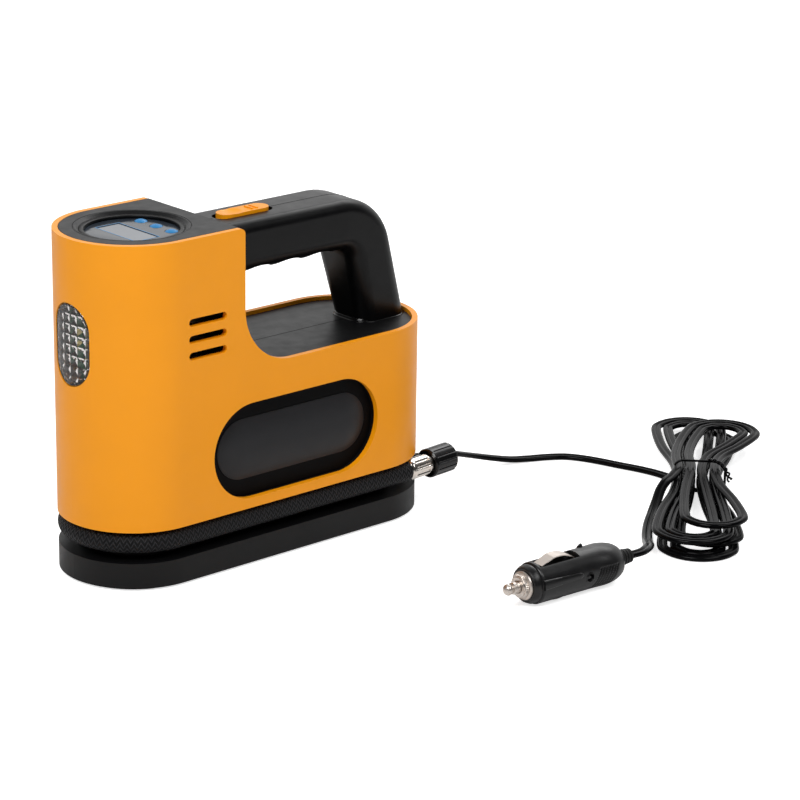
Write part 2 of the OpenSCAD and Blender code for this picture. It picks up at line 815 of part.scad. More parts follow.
// Cast frame: an upright plate for the motor and the gear, and a shelf for the cylinder
module compressor_frame() {
    shelf_front = cylinder_x - bore_d / 2 - 6;
    color("#b8bbbe") difference() {
        union() {
            along(frame_x, frame_x + frame_t) {
                translate([0, (motor_z + shelf_z) / 2 - 8])
                    rounded_rect(40, shelf_z - motor_z + 32, 8);
            }
            translate([shelf_front, -20, shelf_z - shelf_t])
                cube([frame_x + frame_t - shelf_front, 40, shelf_t]);
            for (s = [-1, 1]) across(s * 18 - 2, s * 18 + 2) polygon([
                [frame_x + skim, shelf_z - shelf_t + skim], [frame_x - 20, shelf_z - shelf_t + skim],
                [frame_x + skim, shelf_z - shelf_t - 8.5]]);
            bar_x(frame_x, frame_x + frame_t + 5, gear_z, shaft_d + 12);
        }
        translate([shelf_front - 1, -far, shelf_z]) cube([far, 2 * far, far]);
        bar_x(frame_x - 1, frame_x + frame_t + 6, gear_z, shaft_d + 6);
        bar_x(frame_x - 1, frame_x + frame_t + 1, motor_z, 13.4);
        for (s = [-1, 1]) bar_x(frame_x - 1, frame_x + frame_t + 1, motor_z, 3.2, s * 11.5);
        translate([cylinder_x, 0, shelf_z - shelf_t - 1]) cylinder(d = bore_d, h = shelf_t + 2);
        for (x = [-1, 1], y = [-1, 1]) translate([cylinder_x + x * head_bolt, y * head_bolt,
            shelf_z - shelf_t - 1]) cylinder(d = screw_d, h = shelf_t + 2);
    }
}
head_bolt = bore_d / 2 + 0.5;

// Rod and piston in one, with an eye for the crank pin
module piston_rod() {
    eye_z = gear_z - crank_r;
    color("#c7c9cc") difference() {
        union() {
            bar_x(cylinder_x - rod_t / 2, cylinder_x + rod_t / 2, eye_z, 14);
            translate([cylinder_x - rod_t / 2, -3.5, eye_z + 4]) cube([rod_t, 7, rod_l - 10]);
            translate([cylinder_x, 0, crown_low - 8]) cylinder(d1 = 12, d2 = bore_d - 1, h = 3);
            translate([cylinder_x, 0, crown_low - 5]) cylinder(d = bore_d - 1, h = 5);
        }
        bar_x(cylinder_x - rod_t, cylinder_x + rod_t, eye_z, 5 + 2 * run_gap);
        translate([cylinder_x, 0, crown_low - 3.6]) difference() {
            cylinder(d = bore_d, h = 2);
            translate([0, 0, -1]) cylinder(d = bore_d - 4, h = 4);
        }
    }
}

module piston_seal() {
    color("#e8e4da") translate([cylinder_x, 0, crown_low - 3.6]) difference() {
        cylinder(d = bore_d - 2 * run_gap, h = 2);
        translate([0, 0, -1]) cylinder(d = bore_d - 4, h = 4);
    }
}

// Finned cylinder on a square flange
module bolt_holes(d, h) {
    for (x = [-1, 1], y = [-1, 1]) translate([x * head_bolt, y * head_bolt, -1])
        cylinder(d = d, h = h);
}

module pump_cylinder() {
    outer = bore_d + 2 * cylinder_wall;
    height = cylinder_top - shelf_z;
    color(steel) translate([cylinder_x, 0, shelf_z]) difference() {
        union() {
            cylinder(d = outer, h = height);
            for (z = [0, height - 3]) translate([0, 0, z]) linear_extrude(3) head_plate();
            for (z = [7:4:height - 6]) translate([0, 0, z]) cylinder(d = outer + 4, h = 1.4);
        }
        translate([0, 0, -1]) cylinder(d = bore_d, h = height + 2);
        bolt_holes(screw_d, height + 2);
    }
}

module head_plate() {
    rounded_rect(2 * head_bolt + 7, 2 * head_bolt + 7, 3.4);
}

// Head with its delivery port on the far side
module pump_head() {
    color("#9a9da0") translate([cylinder_x, 0, cylinder_top]) difference() {
        union() {
            linear_extrude(head_t) head_plate();
            translate([0, head_bolt, head_t / 2]) rotate([-90, 0, 0])
                cylinder(d = 8, h = port_y - head_bolt);
        }
        translate([0, 0, -1]) cylinder(d = 12, h = head_t - 3);
        translate([0, 0, head_t / 2]) rotate([-90, 0, 0]) cylinder(d = 3, h = far);
        bolt_holes(screw_d, head_t + 2);
    }
}

module head_screws() {
    color(steel) translate([cylinder_x, 0, shelf_z - shelf_t])
        for (x = [-1, 1], y = [-1, 1]) translate([x * head_bolt, y * head_bolt, 0])
            cross_screw(cylinder_top + head_t - shelf_z + shelf_t, 5);
}

// Points a step apart on the smooth curve through a route
function between(p, k, t) = let (a = p[max(k - 1, 0)], b = p[k], c = p[k + 1],
    d = p[min(k + 2, len(p) - 1)])
    0.5 * (2 * b + (c - a) * t + (2 * a - 5 * b + 4 * c - d) * t * t
        + (3 * b - a - 3 * c + d) * t * t * t);
function unit(v) = v / norm(v);
// Ring of a flat or round tube at point i of a route, with its width level
function tube_ring(p, i, w, t, n) = let (ahead = unit(p[min(i + 1, len(p) - 1)] - p[max(i - 1, 0)]),
    level = unit(cross([0, 0, 1], ahead)), up = cross(ahead, level))
    [for (k = [0:n - 1]) let (a = 360 * (k + 0.5) / n)
        p[i] + level * w / 2 * cos(a) / cos(180 / n) + up * t / 2 * sin(a) / cos(180 / n)];
module tube(p, w, t, n) {
    loft([for (i = [0:len(p) - 1]) tube_ring(p, i, w, t, n)]);
}

// Inner tube from the head's port down to the elbow at the hose
port_y = head_bolt + 7.5;
port_z = cylinder_top + head_t / 2;
tube_route = [[cylinder_x, port_y, port_z], [cylinder_x + 0.2, port_y + 2.8, port_z - 0.6],
    [cylinder_x + 1, port_y + 5, port_z - 2.7], [cylinder_x + 2.4, port_y + 6.3, port_z - 6.5],
    [cylinder_x + 4.4, port_y + 6.9, port_z - 11.5], [cylinder_x + 7.4, port_y + 7, 107],
    [frame_x - 7, 26.6, 98], [frame_x - 0.5, 25.8, 88], [frame_x + 5.5, 25, 78],
    [frame_x + 9.5, 24.5, 69], [frame_x + 10.7, 24.1, 61], [frame_x + 13.5, 23.7, 54],
    [frame_x + 19.5, 23.1, 47.5], [frame_x + 29, 22.5, 43], [elbow_x - 60, 21.9, 40.8],
    [elbow_x - 48, 21.2, 39.8], [elbow_x - 38, 20.4, 37.5], [elbow_x - 29, 18.6, 33.5],
    [elbow_x - 21, 15.6, 29.3], [elbow_x - 13, 11.3, hose_z + 1.7],
    [elbow_x - 6, 9, hose_z + 0.2], [elbow_x - 2.6, 9.9, hose_z], [elbow_x - 0.6, 11.8, hose_z],
    [elbow_x, 13.6, hose_z], [elbow_x, 15, hose_z]];
module delivery_tube() {
    color("#cfd3c8") loft([for (i = [0:len(tube_route) - 1])
        tube_ring(tube_route, i, 5, 5, 8)]);
}

// Brass elbow from the inner tube, through the groove wall, into the hose
module outlet_elbow() {
    y = hose_r;
    color(brass) {
        bar_y(15, y, elbow_x, hose_z, 5.6);
        bar_y(groove_r, groove_r + 1.6, elbow_x, hose_z, 11);
        translate([elbow_x, y, hose_z]) sphere(d = 7.4);
        bar_x(elbow_x - 16, elbow_x, hose_z, hose_bore, y);
        bar_x(elbow_x - 7, elbow_x, hose_z, 7.4, y);
    }
}

// Board behind the motor with its relay and capacitors
module control_board() {
    w = 2 * (end_r - recess_d - core_wall) - 0.4;
    color("#2f6b45") {
        translate([board_x, -w / 2, board_z]) cube([board_l, w, board_t]);
        translate([board_x + 4, -24, board_z + board_t - skim]) cube([19, 15.5, 15]);
        for (y = [8, 19]) translate([board_x + 12, y, board_z + board_t - skim])
            cylinder(d = 9, h = 14);
        translate([board_x + 32, -8, board_z + board_t - skim]) cube([12, 16, 2]);
    }
}

// ---------------------------------------------------------------- hose

// Places its children on the axis of the hose's end, from z = 0 on
module hose_axis(start) {
    translate([hose_end, -hose_r, hose_z]) rotate(hose_yaw)
        translate([sleeve_gap + start, 0, 0]) rotate([0, 90, 0]) children();
}

module hose_path(d) {
    bar_x(-end_x, elbow_x - 7, hose_z, d, hose_r);
    translate([-end_x, 0, hose_z]) rotate(90) rotate_extrude(angle = 180)
        translate([hose_r, 0]) circle(d = d);
    bar_x(-end_x, hose_end, hose_z, d, -hose_r);
}

// Hose in one piece: from the elbow, round the front of the base and back
module air_hose() {
    color(rubber_black) difference() {
        hose_path(hose_d);
        hose_path(hose_bore);
    }
}

// Chrome sleeve with its stem: grooved outside, with a barb in the hose
module hose_sleeve() {
    color(chrome) difference() {
        union() {
            bar_x(hose_end - 9, hose_end + 1, hose_z, hose_bore, -hose_r);
            hose_axis(0) {
                cylinder(d1 = sleeve_d - 1.6, d2 = sleeve_d, h = 1.2);
                translate([0, 0, 1.2]) cylinder(d = sleeve_d, h = sleeve_l - 1.2);
                cylinder(d = stem_d, h = stem_end);
                translate([0, 0, stem_end - 2]) cylinder(d = stem_d + 2.2, h = 2);
                translate([0, 0, stem_end - skim]) cylinder(d1 = 3.4, d2 = 2.4, h = 2.4);
            }
        }
        hose_axis(0) for (a = [0:36:324]) rotate(a) translate([sleeve_d / 2 + 0.35, 0, 2.6])
            cylinder(d = 2.2, h = sleeve_l - 5.4, $fn = 24);
        bar_x(hose_end - 10, hose_end + 1.5, hose_z, 1.6, -hose_r);
        hose_axis(0.6) cylinder(d = 1.6, h = stem_end + 9);
    }
}

// Fluted nut that screws on to a tyre valve and turns freely on the stem
module valve_nut() {
    flutes = 14;
    color(housing_black) hose_axis(nut_start) difference() {
        union() {
            cylinder(d1 = nut_d - 1.4, d2 = nut_d, h = 0.7);
            translate([0, 0, 0.7]) cylinder(d = nut_d, h = nut_l - 1.9);
            translate([0, 0, nut_l - 1.2]) cylinder(d1 = nut_d, d2 = nut_d - 2.4, h = 1.2);
        }
        for (i = [0:flutes - 1]) rotate(360 * i / flutes) translate([nut_d / 2 + 0.35, 0, 1.6])
            cylinder(d = 1.5, h = nut_l, $fn = 24);
        translate([0, 0, -1]) cylinder(d = sleeve_d + 1.2, h = nut_lip + 1);
        translate([0, 0, -1]) cylinder(d = stem_d + 2 * run_gap, h = nut_l);
        translate([0, 0, nut_web]) cylinder(d = stem_d + 3, h = nut_l - valve_l - nut_web + skim);
        translate([0, 0, nut_l - valve_l]) cylinder(d = valve_bore, h = valve_l + 1);
    }
}

module valve_seal() {
    color(rubber_black) hose_axis(stem_end) difference() {
        cylinder(d = stem_d + 1.6, h = 1);
        translate([0, 0, -1]) cylinder(d = 3.4, h = 3);
    }
}

// ---------------------------------------------------------------- lead

// Tapered strain relief in the groove wall
module lead_grommet() {
    color(rubber_black) translate([0, grommet_y, grommet_z]) rotate([0, 90, 0]) {
        translate([0, 0, end_x + 14]) cylinder(d = 8, h = grommet_x - end_x - 14);
        translate([0, 0, end_x + 12]) cylinder(d = 11, h = 2.5);
        difference() {
            translate([0, 0, grommet_x]) cylinder(d1 = 9, d2 = lead_w + 1, h = grommet_l);
            for (i = [0:4]) translate([0, 0, grommet_x + 2 + i * 3]) difference() {
                cylinder(d = 12, h = 1.2);
                translate([0, 0, -1]) cylinder(d1 = 7.6 - 0.4 * i, d2 = 7.4 - 0.4 * i, h = 4);
            }
        }
    }
}

lead_start = [grommet_x + grommet_l, grommet_y, grommet_z];
lead_route = [lead_start, lead_start + [7, 0, -0.1], [128, -14.3, 18.4], [137, -12.8, 16.1],
    [147, -10.5, 12.6], [158, -9, 8.8], [170, -9.8, 5.2], [181, -12, 2.6], [191, -15.2, 1.7],
    [201, -19.5, 1.5], [209.5, -25.5, 1.5], [215, -34, 1.5], [219, -44, 1.5],
    [222.5, -55, 1.5], [226, -65, 1.5], [228.4, -75, 1.5], [228.9, -83, 1.6],
    [227.8, -90.5, 2], [224.9, -96, 2.4], [220.6, -100.1, 2.6]];
tail_route = [[220.6, -100.1, 13.4], [214.1, -104.8, 13.4], [206.6, -108.5, 13.2],
    [200.2, -110.5, 12.6], [194, -112.7, 10], [186.9, -116.8, 6.4], [178.2, -122.2, 3.2],
    [168.3, -129.2, 1.7], [157.7, -138.4, 1.6], [149.2, -146.8, 2.4], [141.5, -154.6, 5],
    [133.8, -162.5, 8], [126.5, -168, 9.8], [119.4, -171, 10.5], [111.7, -170.6, 10.6]];

module cord_lead() {
    color(rubber_black) tube(lead_route, lead_w, lead_t, 8);
}
module cord_tail() {
    color(rubber_black) tube(tail_route, lead_w, lead_t, 8);
}

// The hank: six loops in four layers, drawn in at the waist, with each layer's loops as long
// and turned as far as the lists say. It starts and ends at the waist, on the lead's side.
hank_loops = 6;
loop_rings = 24;
hank_centre = [228.5, -108.4];
hank_turn = 43.5;
reach_ahead = [80, 86, 76, 64];
reach_behind = [86, 78, 82, 70];
fan_ahead = [-2, 3, -7, -12];
fan_behind = [0, 3, -2, 5];
fan_start = 8;
fan_end = 60;
lobe_r = 20;
waist = 11.5;
hank_step = 6.8;
layer_step = 3.6;
waist_lift = 1.2;
ease = function (t) t * t * (3 - 2 * t);
inset_at = function (turn) hank_step * (1.5 - abs(turn - 3 * floor(turn / 3) - 1.5));
layer_at = function (turn) let (k = round(turn / 1.5), d = turn - 1.5 * k)
    (k == 0 || k == 4) ? (k == 0 ? 0 : 3)
    : k - 1 + min(1, max(0, 0.5 + d * (abs(d) < 0.05 ? 8.4 : 6.25)));
of_layer = function (list, layer) let (low = min(floor(layer), 2))
    list[low] + (list[low + 1] - list[low]) * (layer - low);
hank_point = function (i) let (turn = i / loop_rings, k = i % loop_rings,
    inset = inset_at(turn), layer = layer_at(turn), z = lead_t / 2 + 0.1 + layer_step * layer,
    flat = k <= 3 ? [-k / 3, 1] : k < 9 ? [-1, 90 - 30 * (k - 3)]
        : k <= 15 ? [(k - 12) / 3, -1] : k < 21 ? [1, -90 + 30 * (k - 15)] : [(24 - k) / 3, 1],
    on_run = k <= 3 || (k >= 9 && k <= 15) || k >= 21,
    reach = of_layer(flat[0] < 0 ? reach_behind : reach_ahead, layer),
    u = on_run ? flat[0] * reach : flat[0] * (reach + (lobe_r - inset) * cos(flat[1])),
    v = on_run ? flat[1] * (waist + (lobe_r - waist) * ease(abs(flat[0])) - inset)
        : (lobe_r - inset) * sin(flat[1]),
    lift = waist_lift * (1 - ease(min(1, abs(u) / 40))),
    fanned = ease(min(1, max(0, (abs(u) - fan_start) / (fan_end - fan_start)))),
    turned = hank_turn + fanned * of_layer(u < 0 ? fan_behind : fan_ahead, layer))
    [hank_centre[0] + u * cos(turned) - v * sin(turned),
     hank_centre[1] + u * sin(turned) + v * cos(turned), z + lift];
hank_points = [for (i = [0:hank_loops * loop_rings]) hank_point(i)];

// Least gap between turns, across or up, on points halfway along each piece of the route
function hank_gap(p, apart) = min([for (i = [0:len(p) - 1], j = [i + apart:1:len(p) - 1])
    let (d = p[j] - p[i]) max(norm([d[0], d[1]]) - lead_w, abs(d[2]) - lead_t)]);

module cord_hank() {
    middle = [for (i = [0:len(hank_points) - 2], t = [0, 0.5])
        hank_points[i] * (1 - t) + hank_points[i + 1] * t];
    echo(least_gap = hank_gap(middle, loop_rings), length = hank_length());
    color(rubber_black) tube(hank_points, lead_w, lead_t, 6);
}
function total(v, i = 0) = i < len(v) ? v[i] + total(v, i + 1) : 0;
function run_length(p) = total([for (i = [1:len(p) - 1]) norm(p[i] - p[i - 1])]);
function hank_length() = run_length(hank_points);

// Wire tie round the waist, with its twisted end
module cord_tie() {
    wide = 2 * waist - 1.5 * hank_step / 2 + lead_w + 4;
    high = 3 * layer_step + lead_t + 2.2;
    color("#18181a") translate([hank_centre[0], hank_centre[1], waist_lift + high / 2 - 0.3])
        rotate(hank_turn) {
            translate([-1.5, 1.5, 0]) rotate([90, 0, 90]) linear_extrude(3) difference() {
                rounded_rect(wide + 1.4, high + 1.4, 3.6);
                rounded_rect(wide, high, 3);
            }
            translate([0, 1.5 - wide / 2 - 0.4, high / 2 - 3]) rotate([65, 20, 0])
                cylinder(d = 1.8, h = 9);
        }
}

// ---------------------------------------------------------------- lighter plug

plug_tip_at = [30, -165.4, 10.6];
plug_yaw = -3.6;
collar_s = 12.3;
body_s = 16.4;
fuse_d = 6;

// Places its children along the plug, with z = 0 at the tip's end and x upwards
module plug_axis(s) {
    translate(plug_tip_at) rotate(plug_yaw) translate([s, 0, 0]) rotate([0, 90, 0])
        rotate(180) children();
}

// Upright slot for a side contact
module contact_slot(side) {
    plug_axis(19) translate([side > 0 ? 4.2 : -far, -contact_w / 2 - 0.4, 0])
        cube([far - 4.2, contact_w + 0.8, 25]);
}

module plug_shape() {
    r = plug_d / 2;
    plug_axis(body_s) {
        cylinder(r1 = r - 0.5, r2 = r, h = 1);
        translate([0, 0, 1]) cylinder(r = r, h = plug_l - 9);
        translate([0, 0, plug_l - 8]) intersection() {
            cylinder(r = r, h = 8);
            translate([0, 0, -4]) sphere(r = 13.4);
        }
        for (s = [-1, 1]) translate([0, s * (r - 1.2), 6]) intersection() {
            translate([-1, -1.8, 0]) cube([2, 3.6, 26]);
            translate([0, 0, 13]) sphere(r = 13.4);
        }
    }
}

module plug_body(side) {
    color(housing_black) difference() {
        plug_shape();
        translate(plug_tip_at) rotate(plug_yaw) translate([-far, side < 0 ? 0 : -far, -far])
            cube([2 * far, far, 2 * far]);
        plug_axis(0) cylinder(d = fuse_d + 2, h = body_s + 36);
        plug_axis(body_s + plug_l - 8) cylinder(d = 6.4, h = 20);
        contact_slot(1);
        contact_slot(-1);
        plug_axis(body_s + 44) for (i = [0:4])
            translate([-5, -side * plug_d / 2 - 1.2, i * 2.4]) cube([10, 2.4, 0.9]);
        plug_axis(56) rotate([90, 0, 0]) translate([0, 0, side * 20]) cylinder(d = 4, h = 22.5,
            center = true, $fn = 6);
    }
}
module plug_body_near() { plug_body(-1); }
module plug_body_far() { plug_body(1); }

module plug_collar() {
    color(housing_black) plug_axis(collar_s) difference() {
        cylinder(d1 = plug_d - 3.4, d2 = plug_d - 1.6, h = body_s - collar_s);
        translate([0, 0, -1]) cylinder(d = 9, h = 10);
    }
}

// Knurled ring that holds the tip
module plug_nose_ring() {
    color(chrome) plug_axis(8.3) difference() {
        union() {
            cylinder(d1 = 12.4, d2 = 14.6, h = 1.2);
            translate([0, 0, 1.2]) cylinder(d = 14.6, h = collar_s - 8.3 - 1.2);
            cylinder(d = 9, h = body_s - 8.3);
        }
        for (a = [0:15:345]) rotate(a) translate([7.5, 0, 1]) cylinder(d = 0.8, h = 5, $fn = 16);
        translate([0, 0, -1]) cylinder(d = 4.4 + 2 * run_gap, h = 3);
        translate([0, 0, 1.6]) cylinder(d = fuse_d + 0.6, h = 10);
    }
}

// Centre tip: sprung pin with a ball end
module plug_tip() {
    color(chrome) plug_axis(0) {
        translate([0, 0, 1.6]) sphere(d = 3.2);
        translate([0, 0, 1.6]) cylinder(d = 2.4, h = 3);
        translate([0, 0, 4]) cylinder(d = 4.4, h = 6.2);
        translate([0, 0, 10]) cylinder(d = fuse_d, h = 1.4);
    }
}

module plug_tip_spring() {
    color(steel) plug_axis(11.4) difference() {
        cylinder(d = 5.4, h = tip_travel + 3.1);
        translate([0, 0, -1]) cylinder(d = 4.2, h = tip_travel + 6);
    }
}

module plug_fuse() {
    color("#d9dcd8") plug_axis(14.5 + tip_travel) cylinder(d = fuse_d, h = 30);
}

// Arched leaf that presses on the socket's wall
module contact_leaf(rise) {
    chord = 21;
    height = 3.2;
    r = (pow(chord / 2, 2) + pow(height, 2)) / (2 * height);
    top = plug_d / 2 + rise;
    translate([top - r, 0, 12.5]) rotate([90, 0, 0]) intersection() {
        difference() {
            cylinder(r = r, h = contact_w, center = true);
            cylinder(r = r - 0.6, h = contact_w + 1, center = true);
        }
        translate([r - height, -chord / 2, -far]) cube([far, chord, 2 * far]);
    }
}
module plug_contact_upper() {
    color(chrome) plug_axis(19) contact_leaf(contact_rise);
}
module plug_contact_lower() {
    color(chrome) plug_axis(19) rotate(180) contact_leaf(0);
}

module plug_grommet() {
    color(rubber_black) plug_axis(body_s + plug_l - 6) {
        cylinder(d = 6.4, h = 8);
        for (i = [0:4]) translate([0, 0, 6.4 + 1.9 * i]) cylinder(d = 9 - 0.4 * i, h = 1.2);
        cylinder(d = lead_w + 0.8, h = 15.7);
    }
}

shell_near();
shell_far();
housing_near();
housing_far();
handle_near();
handle_far();
rubber_feet();
housing_screws();
display_panel();
display_window();
display_board();
button_left();
button_centre();
button_right();
power_slider();
switch_body();
light_lens();
light_tray();
light_board();
motor_can();
motor_shaft();
motor_pinion();
compressor_frame();
gear_bearing();
drive_gear();
gear_shaft();
piston_rod();
piston_seal();
pump_cylinder();
pump_head();
head_screws();
delivery_tube();
outlet_elbow();
control_board();
air_hose();
hose_sleeve();
valve_nut();
valve_seal();
lead_grommet();
cord_lead();
cord_hank();
cord_tail();
cord_tie();
plug_body_near();
plug_body_far();
plug_collar();
plug_nose_ring();
plug_tip();
plug_tip_spring();
plug_fuse();
plug_contact_upper();
plug_contact_lower();
plug_grommet();
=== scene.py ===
"""Dresses the portable tire inflator in its finishes, cords, braided hose and fine detail.

Everything is in metres in the shared frame: the origin is the middle of the base on the
surface it stands on, +Z is up, +X points from the work light to the handle's leg and -Y to
the side where the hose ends. Sizes given as class fields are in millimetres.
"""
import logging
import math
from dataclasses import dataclass
from enum import Enum
from itertools import accumulate
from typing import Callable, Iterable, Sequence

import bmesh
import bpy
from mathutils import Matrix, Vector


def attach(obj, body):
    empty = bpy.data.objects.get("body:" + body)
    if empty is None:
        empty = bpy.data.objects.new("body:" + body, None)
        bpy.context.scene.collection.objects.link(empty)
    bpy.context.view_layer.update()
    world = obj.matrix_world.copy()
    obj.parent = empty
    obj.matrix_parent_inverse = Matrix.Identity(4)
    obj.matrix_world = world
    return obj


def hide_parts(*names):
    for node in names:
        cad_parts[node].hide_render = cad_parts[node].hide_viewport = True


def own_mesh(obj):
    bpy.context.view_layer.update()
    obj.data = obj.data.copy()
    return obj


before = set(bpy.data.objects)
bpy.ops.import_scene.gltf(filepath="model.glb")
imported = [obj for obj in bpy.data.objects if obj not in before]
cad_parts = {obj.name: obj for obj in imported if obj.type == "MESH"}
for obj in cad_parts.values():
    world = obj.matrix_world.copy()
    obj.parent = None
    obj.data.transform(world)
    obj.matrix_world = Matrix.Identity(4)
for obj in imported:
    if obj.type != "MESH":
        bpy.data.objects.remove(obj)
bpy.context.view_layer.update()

MM = 0.001
UP = Vector((0, 0, 1))
WHITE = (1.0, 1.0, 1.0, 1.0)
HANK_CENTRE = (228.5, -108.4)
HANK_TURN = 43.5
Point = tuple[float, float, float]
Layers = tuple[float, float, float, float]
Rings = list[list[Vector]]

logging.basicConfig(level=logging.INFO, format="%(levelname)s %(message)s")
log = logging.getLogger("inflator")


class Body(Enum):
    """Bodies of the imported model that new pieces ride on."""

    UNIT = "unit"
    TIP = "tip"
    UPPER_CONTACT = "upper_contact"
    LOWER_CONTACT = "lower_contact"


# ---- mesh helpers


def metres(points: Iterable[Sequence[float]]) -> list[Vector]:
    """Turns points in millimetres into vectors in metres."""
    return [Vector(p) * MM for p in points]


def smooth_route(points: Sequence[Vector], steps: int) -> list[Vector]:
    """Runs a smooth curve through a route.

    Args:
        points: The route's points.
        steps: Pieces that each stretch is cut into.

    Returns:
        Points along a Catmull-Rom curve through the route.
    """
    out: list[Vector] = []
    last = len(points) - 1
    for k in range(last):
        a, b = points[max(k - 1, 0)], points[k]
        c, d = points[k + 1], points[min(k + 2, last)]
        for i in range(steps):
            t = i / steps
            out.append(0.5 * (2 * b + (c - a) * t + (2 * a - 5 * b + 4 * c - d) * t * t
                              + (3 * b - a - 3 * c + d) * t ** 3))
    out.append(points[last].copy())
    return out


def mesh_object(name: str, mesh: bmesh.types.BMesh, smooth: bool = True) -> bpy.types.Object:
    """Makes an object from a finished bmesh and frees the bmesh.

    Args:
        name: Name of the new piece.
        mesh: The bmesh, in metres in the row frame.
        smooth: Whether the faces are shaded smooth.

    Returns:
        The new object, linked to the scene.
    """
    bmesh.ops.recalc_face_normals(mesh, faces=mesh.faces)
    for face in mesh.faces:
        face.smooth = smooth
    data = bpy.data.meshes.new(name)
    mesh.to_mesh(data)
    mesh.free()
    piece = bpy.data.objects.new(name, data)
    bpy.context.scene.collection.objects.link(piece)
    return piece


def skin_rings(mesh: bmesh.types.BMesh, rings: Rings, closed: bool = False) -> None:
    """Skins a row of rings that all have the same number of points.

    Args:
        mesh: The bmesh that receives the skin.
        rings: Rings of points, in order.
        closed: Whether the last ring joins the first one; if not, flat faces close the ends.
    """
    made = [[mesh.verts.new(p) for p in ring] for ring in rings]
    count = len(made[0])
    for a, b in zip(made, made[1:] + made[:1] if closed else made[1:]):
        for j in range(count):
            k = (j + 1) % count
            mesh.faces.new((a[j], a[k], b[k], b[j]))
    if not closed:
        mesh.faces.new(list(reversed(made[0])))
        mesh.faces.new(made[-1])


def heading(route: Sequence[Vector], i: int) -> Vector:
    """Direction in which a route runs at one of its points."""
    return (route[min(i + 1, len(route) - 1)] - route[max(i - 1, 0)]).normalized()


def sweep(route: Sequence[Vector], section: Sequence[Vector],
          up: Vector = UP) -> Rings:
    """Sweeps a flat section along a route, with its width kept level.

    Args:
        route: Points of the centreline.
        section: Points of the section, x across and y up.
        up: Direction that the section's height keeps to.

    Returns:
        The rings along the route.
    """
    rings = []
    for i, point in enumerate(route):
        ahead = heading(route, i)
        level = up.cross(ahead).normalized()
        rise = ahead.cross(level)
        rings.append([point + level * q.x + rise * q.y for q in section])
    return rings


def turns(count: int, share: float = 0.0) -> list[float]:
    """Angles in radians of points round a circle, the first a share of a step on."""
    return [2 * math.pi * (i + share) / count for i in range(count)]


def round_section(radius: float, count: int) -> list[Vector]:
    """Points of a round section with a radius in millimetres."""
    return [Vector((math.cos(a), math.sin(a), 0)) * (radius * MM) for a in turns(count)]


def polar(place: Matrix, radius: float, angle: float, along: float) -> Vector:
    """Point round an axis, from millimetres and an angle in radians, in metres."""
    return place @ (Vector((radius * math.cos(angle), radius * math.sin(angle), along)) * MM)


def lathe(profile: Sequence[tuple[float, float]], place: Matrix, count: int,
          bite: Callable[[float, float], float] = lambda along, angle: 0.0) -> Rings:
    """Turns pairs of height and radius round local Z, less the bite at a height and angle."""
    return [[polar(place, r - bite(s, a), a, s) for a in turns(count)] for s, r in profile]


def at_height(x: float, y: float, z: float) -> Matrix:
    """Place of an upright axis, from millimetres."""
    return Matrix.Translation(Vector((x, y, z)) * MM)


def axis_place(start: Point, yaw: float) -> Matrix:
    """Matrix whose local Z runs level in the direction of a yaw, with local X up.

    Args:
        start: The axis's start in millimetres.
        yaw: Direction of the axis in degrees from +X.

    Returns:
        The matrix, in metres.
    """
    angle = math.radians(yaw)
    along = Vector((math.cos(angle), math.sin(angle), 0))
    place = Matrix((UP, along.cross(UP), along)).transposed().to_4x4()
    place.translation = Vector(start) * MM
    return place


# ---- finishes


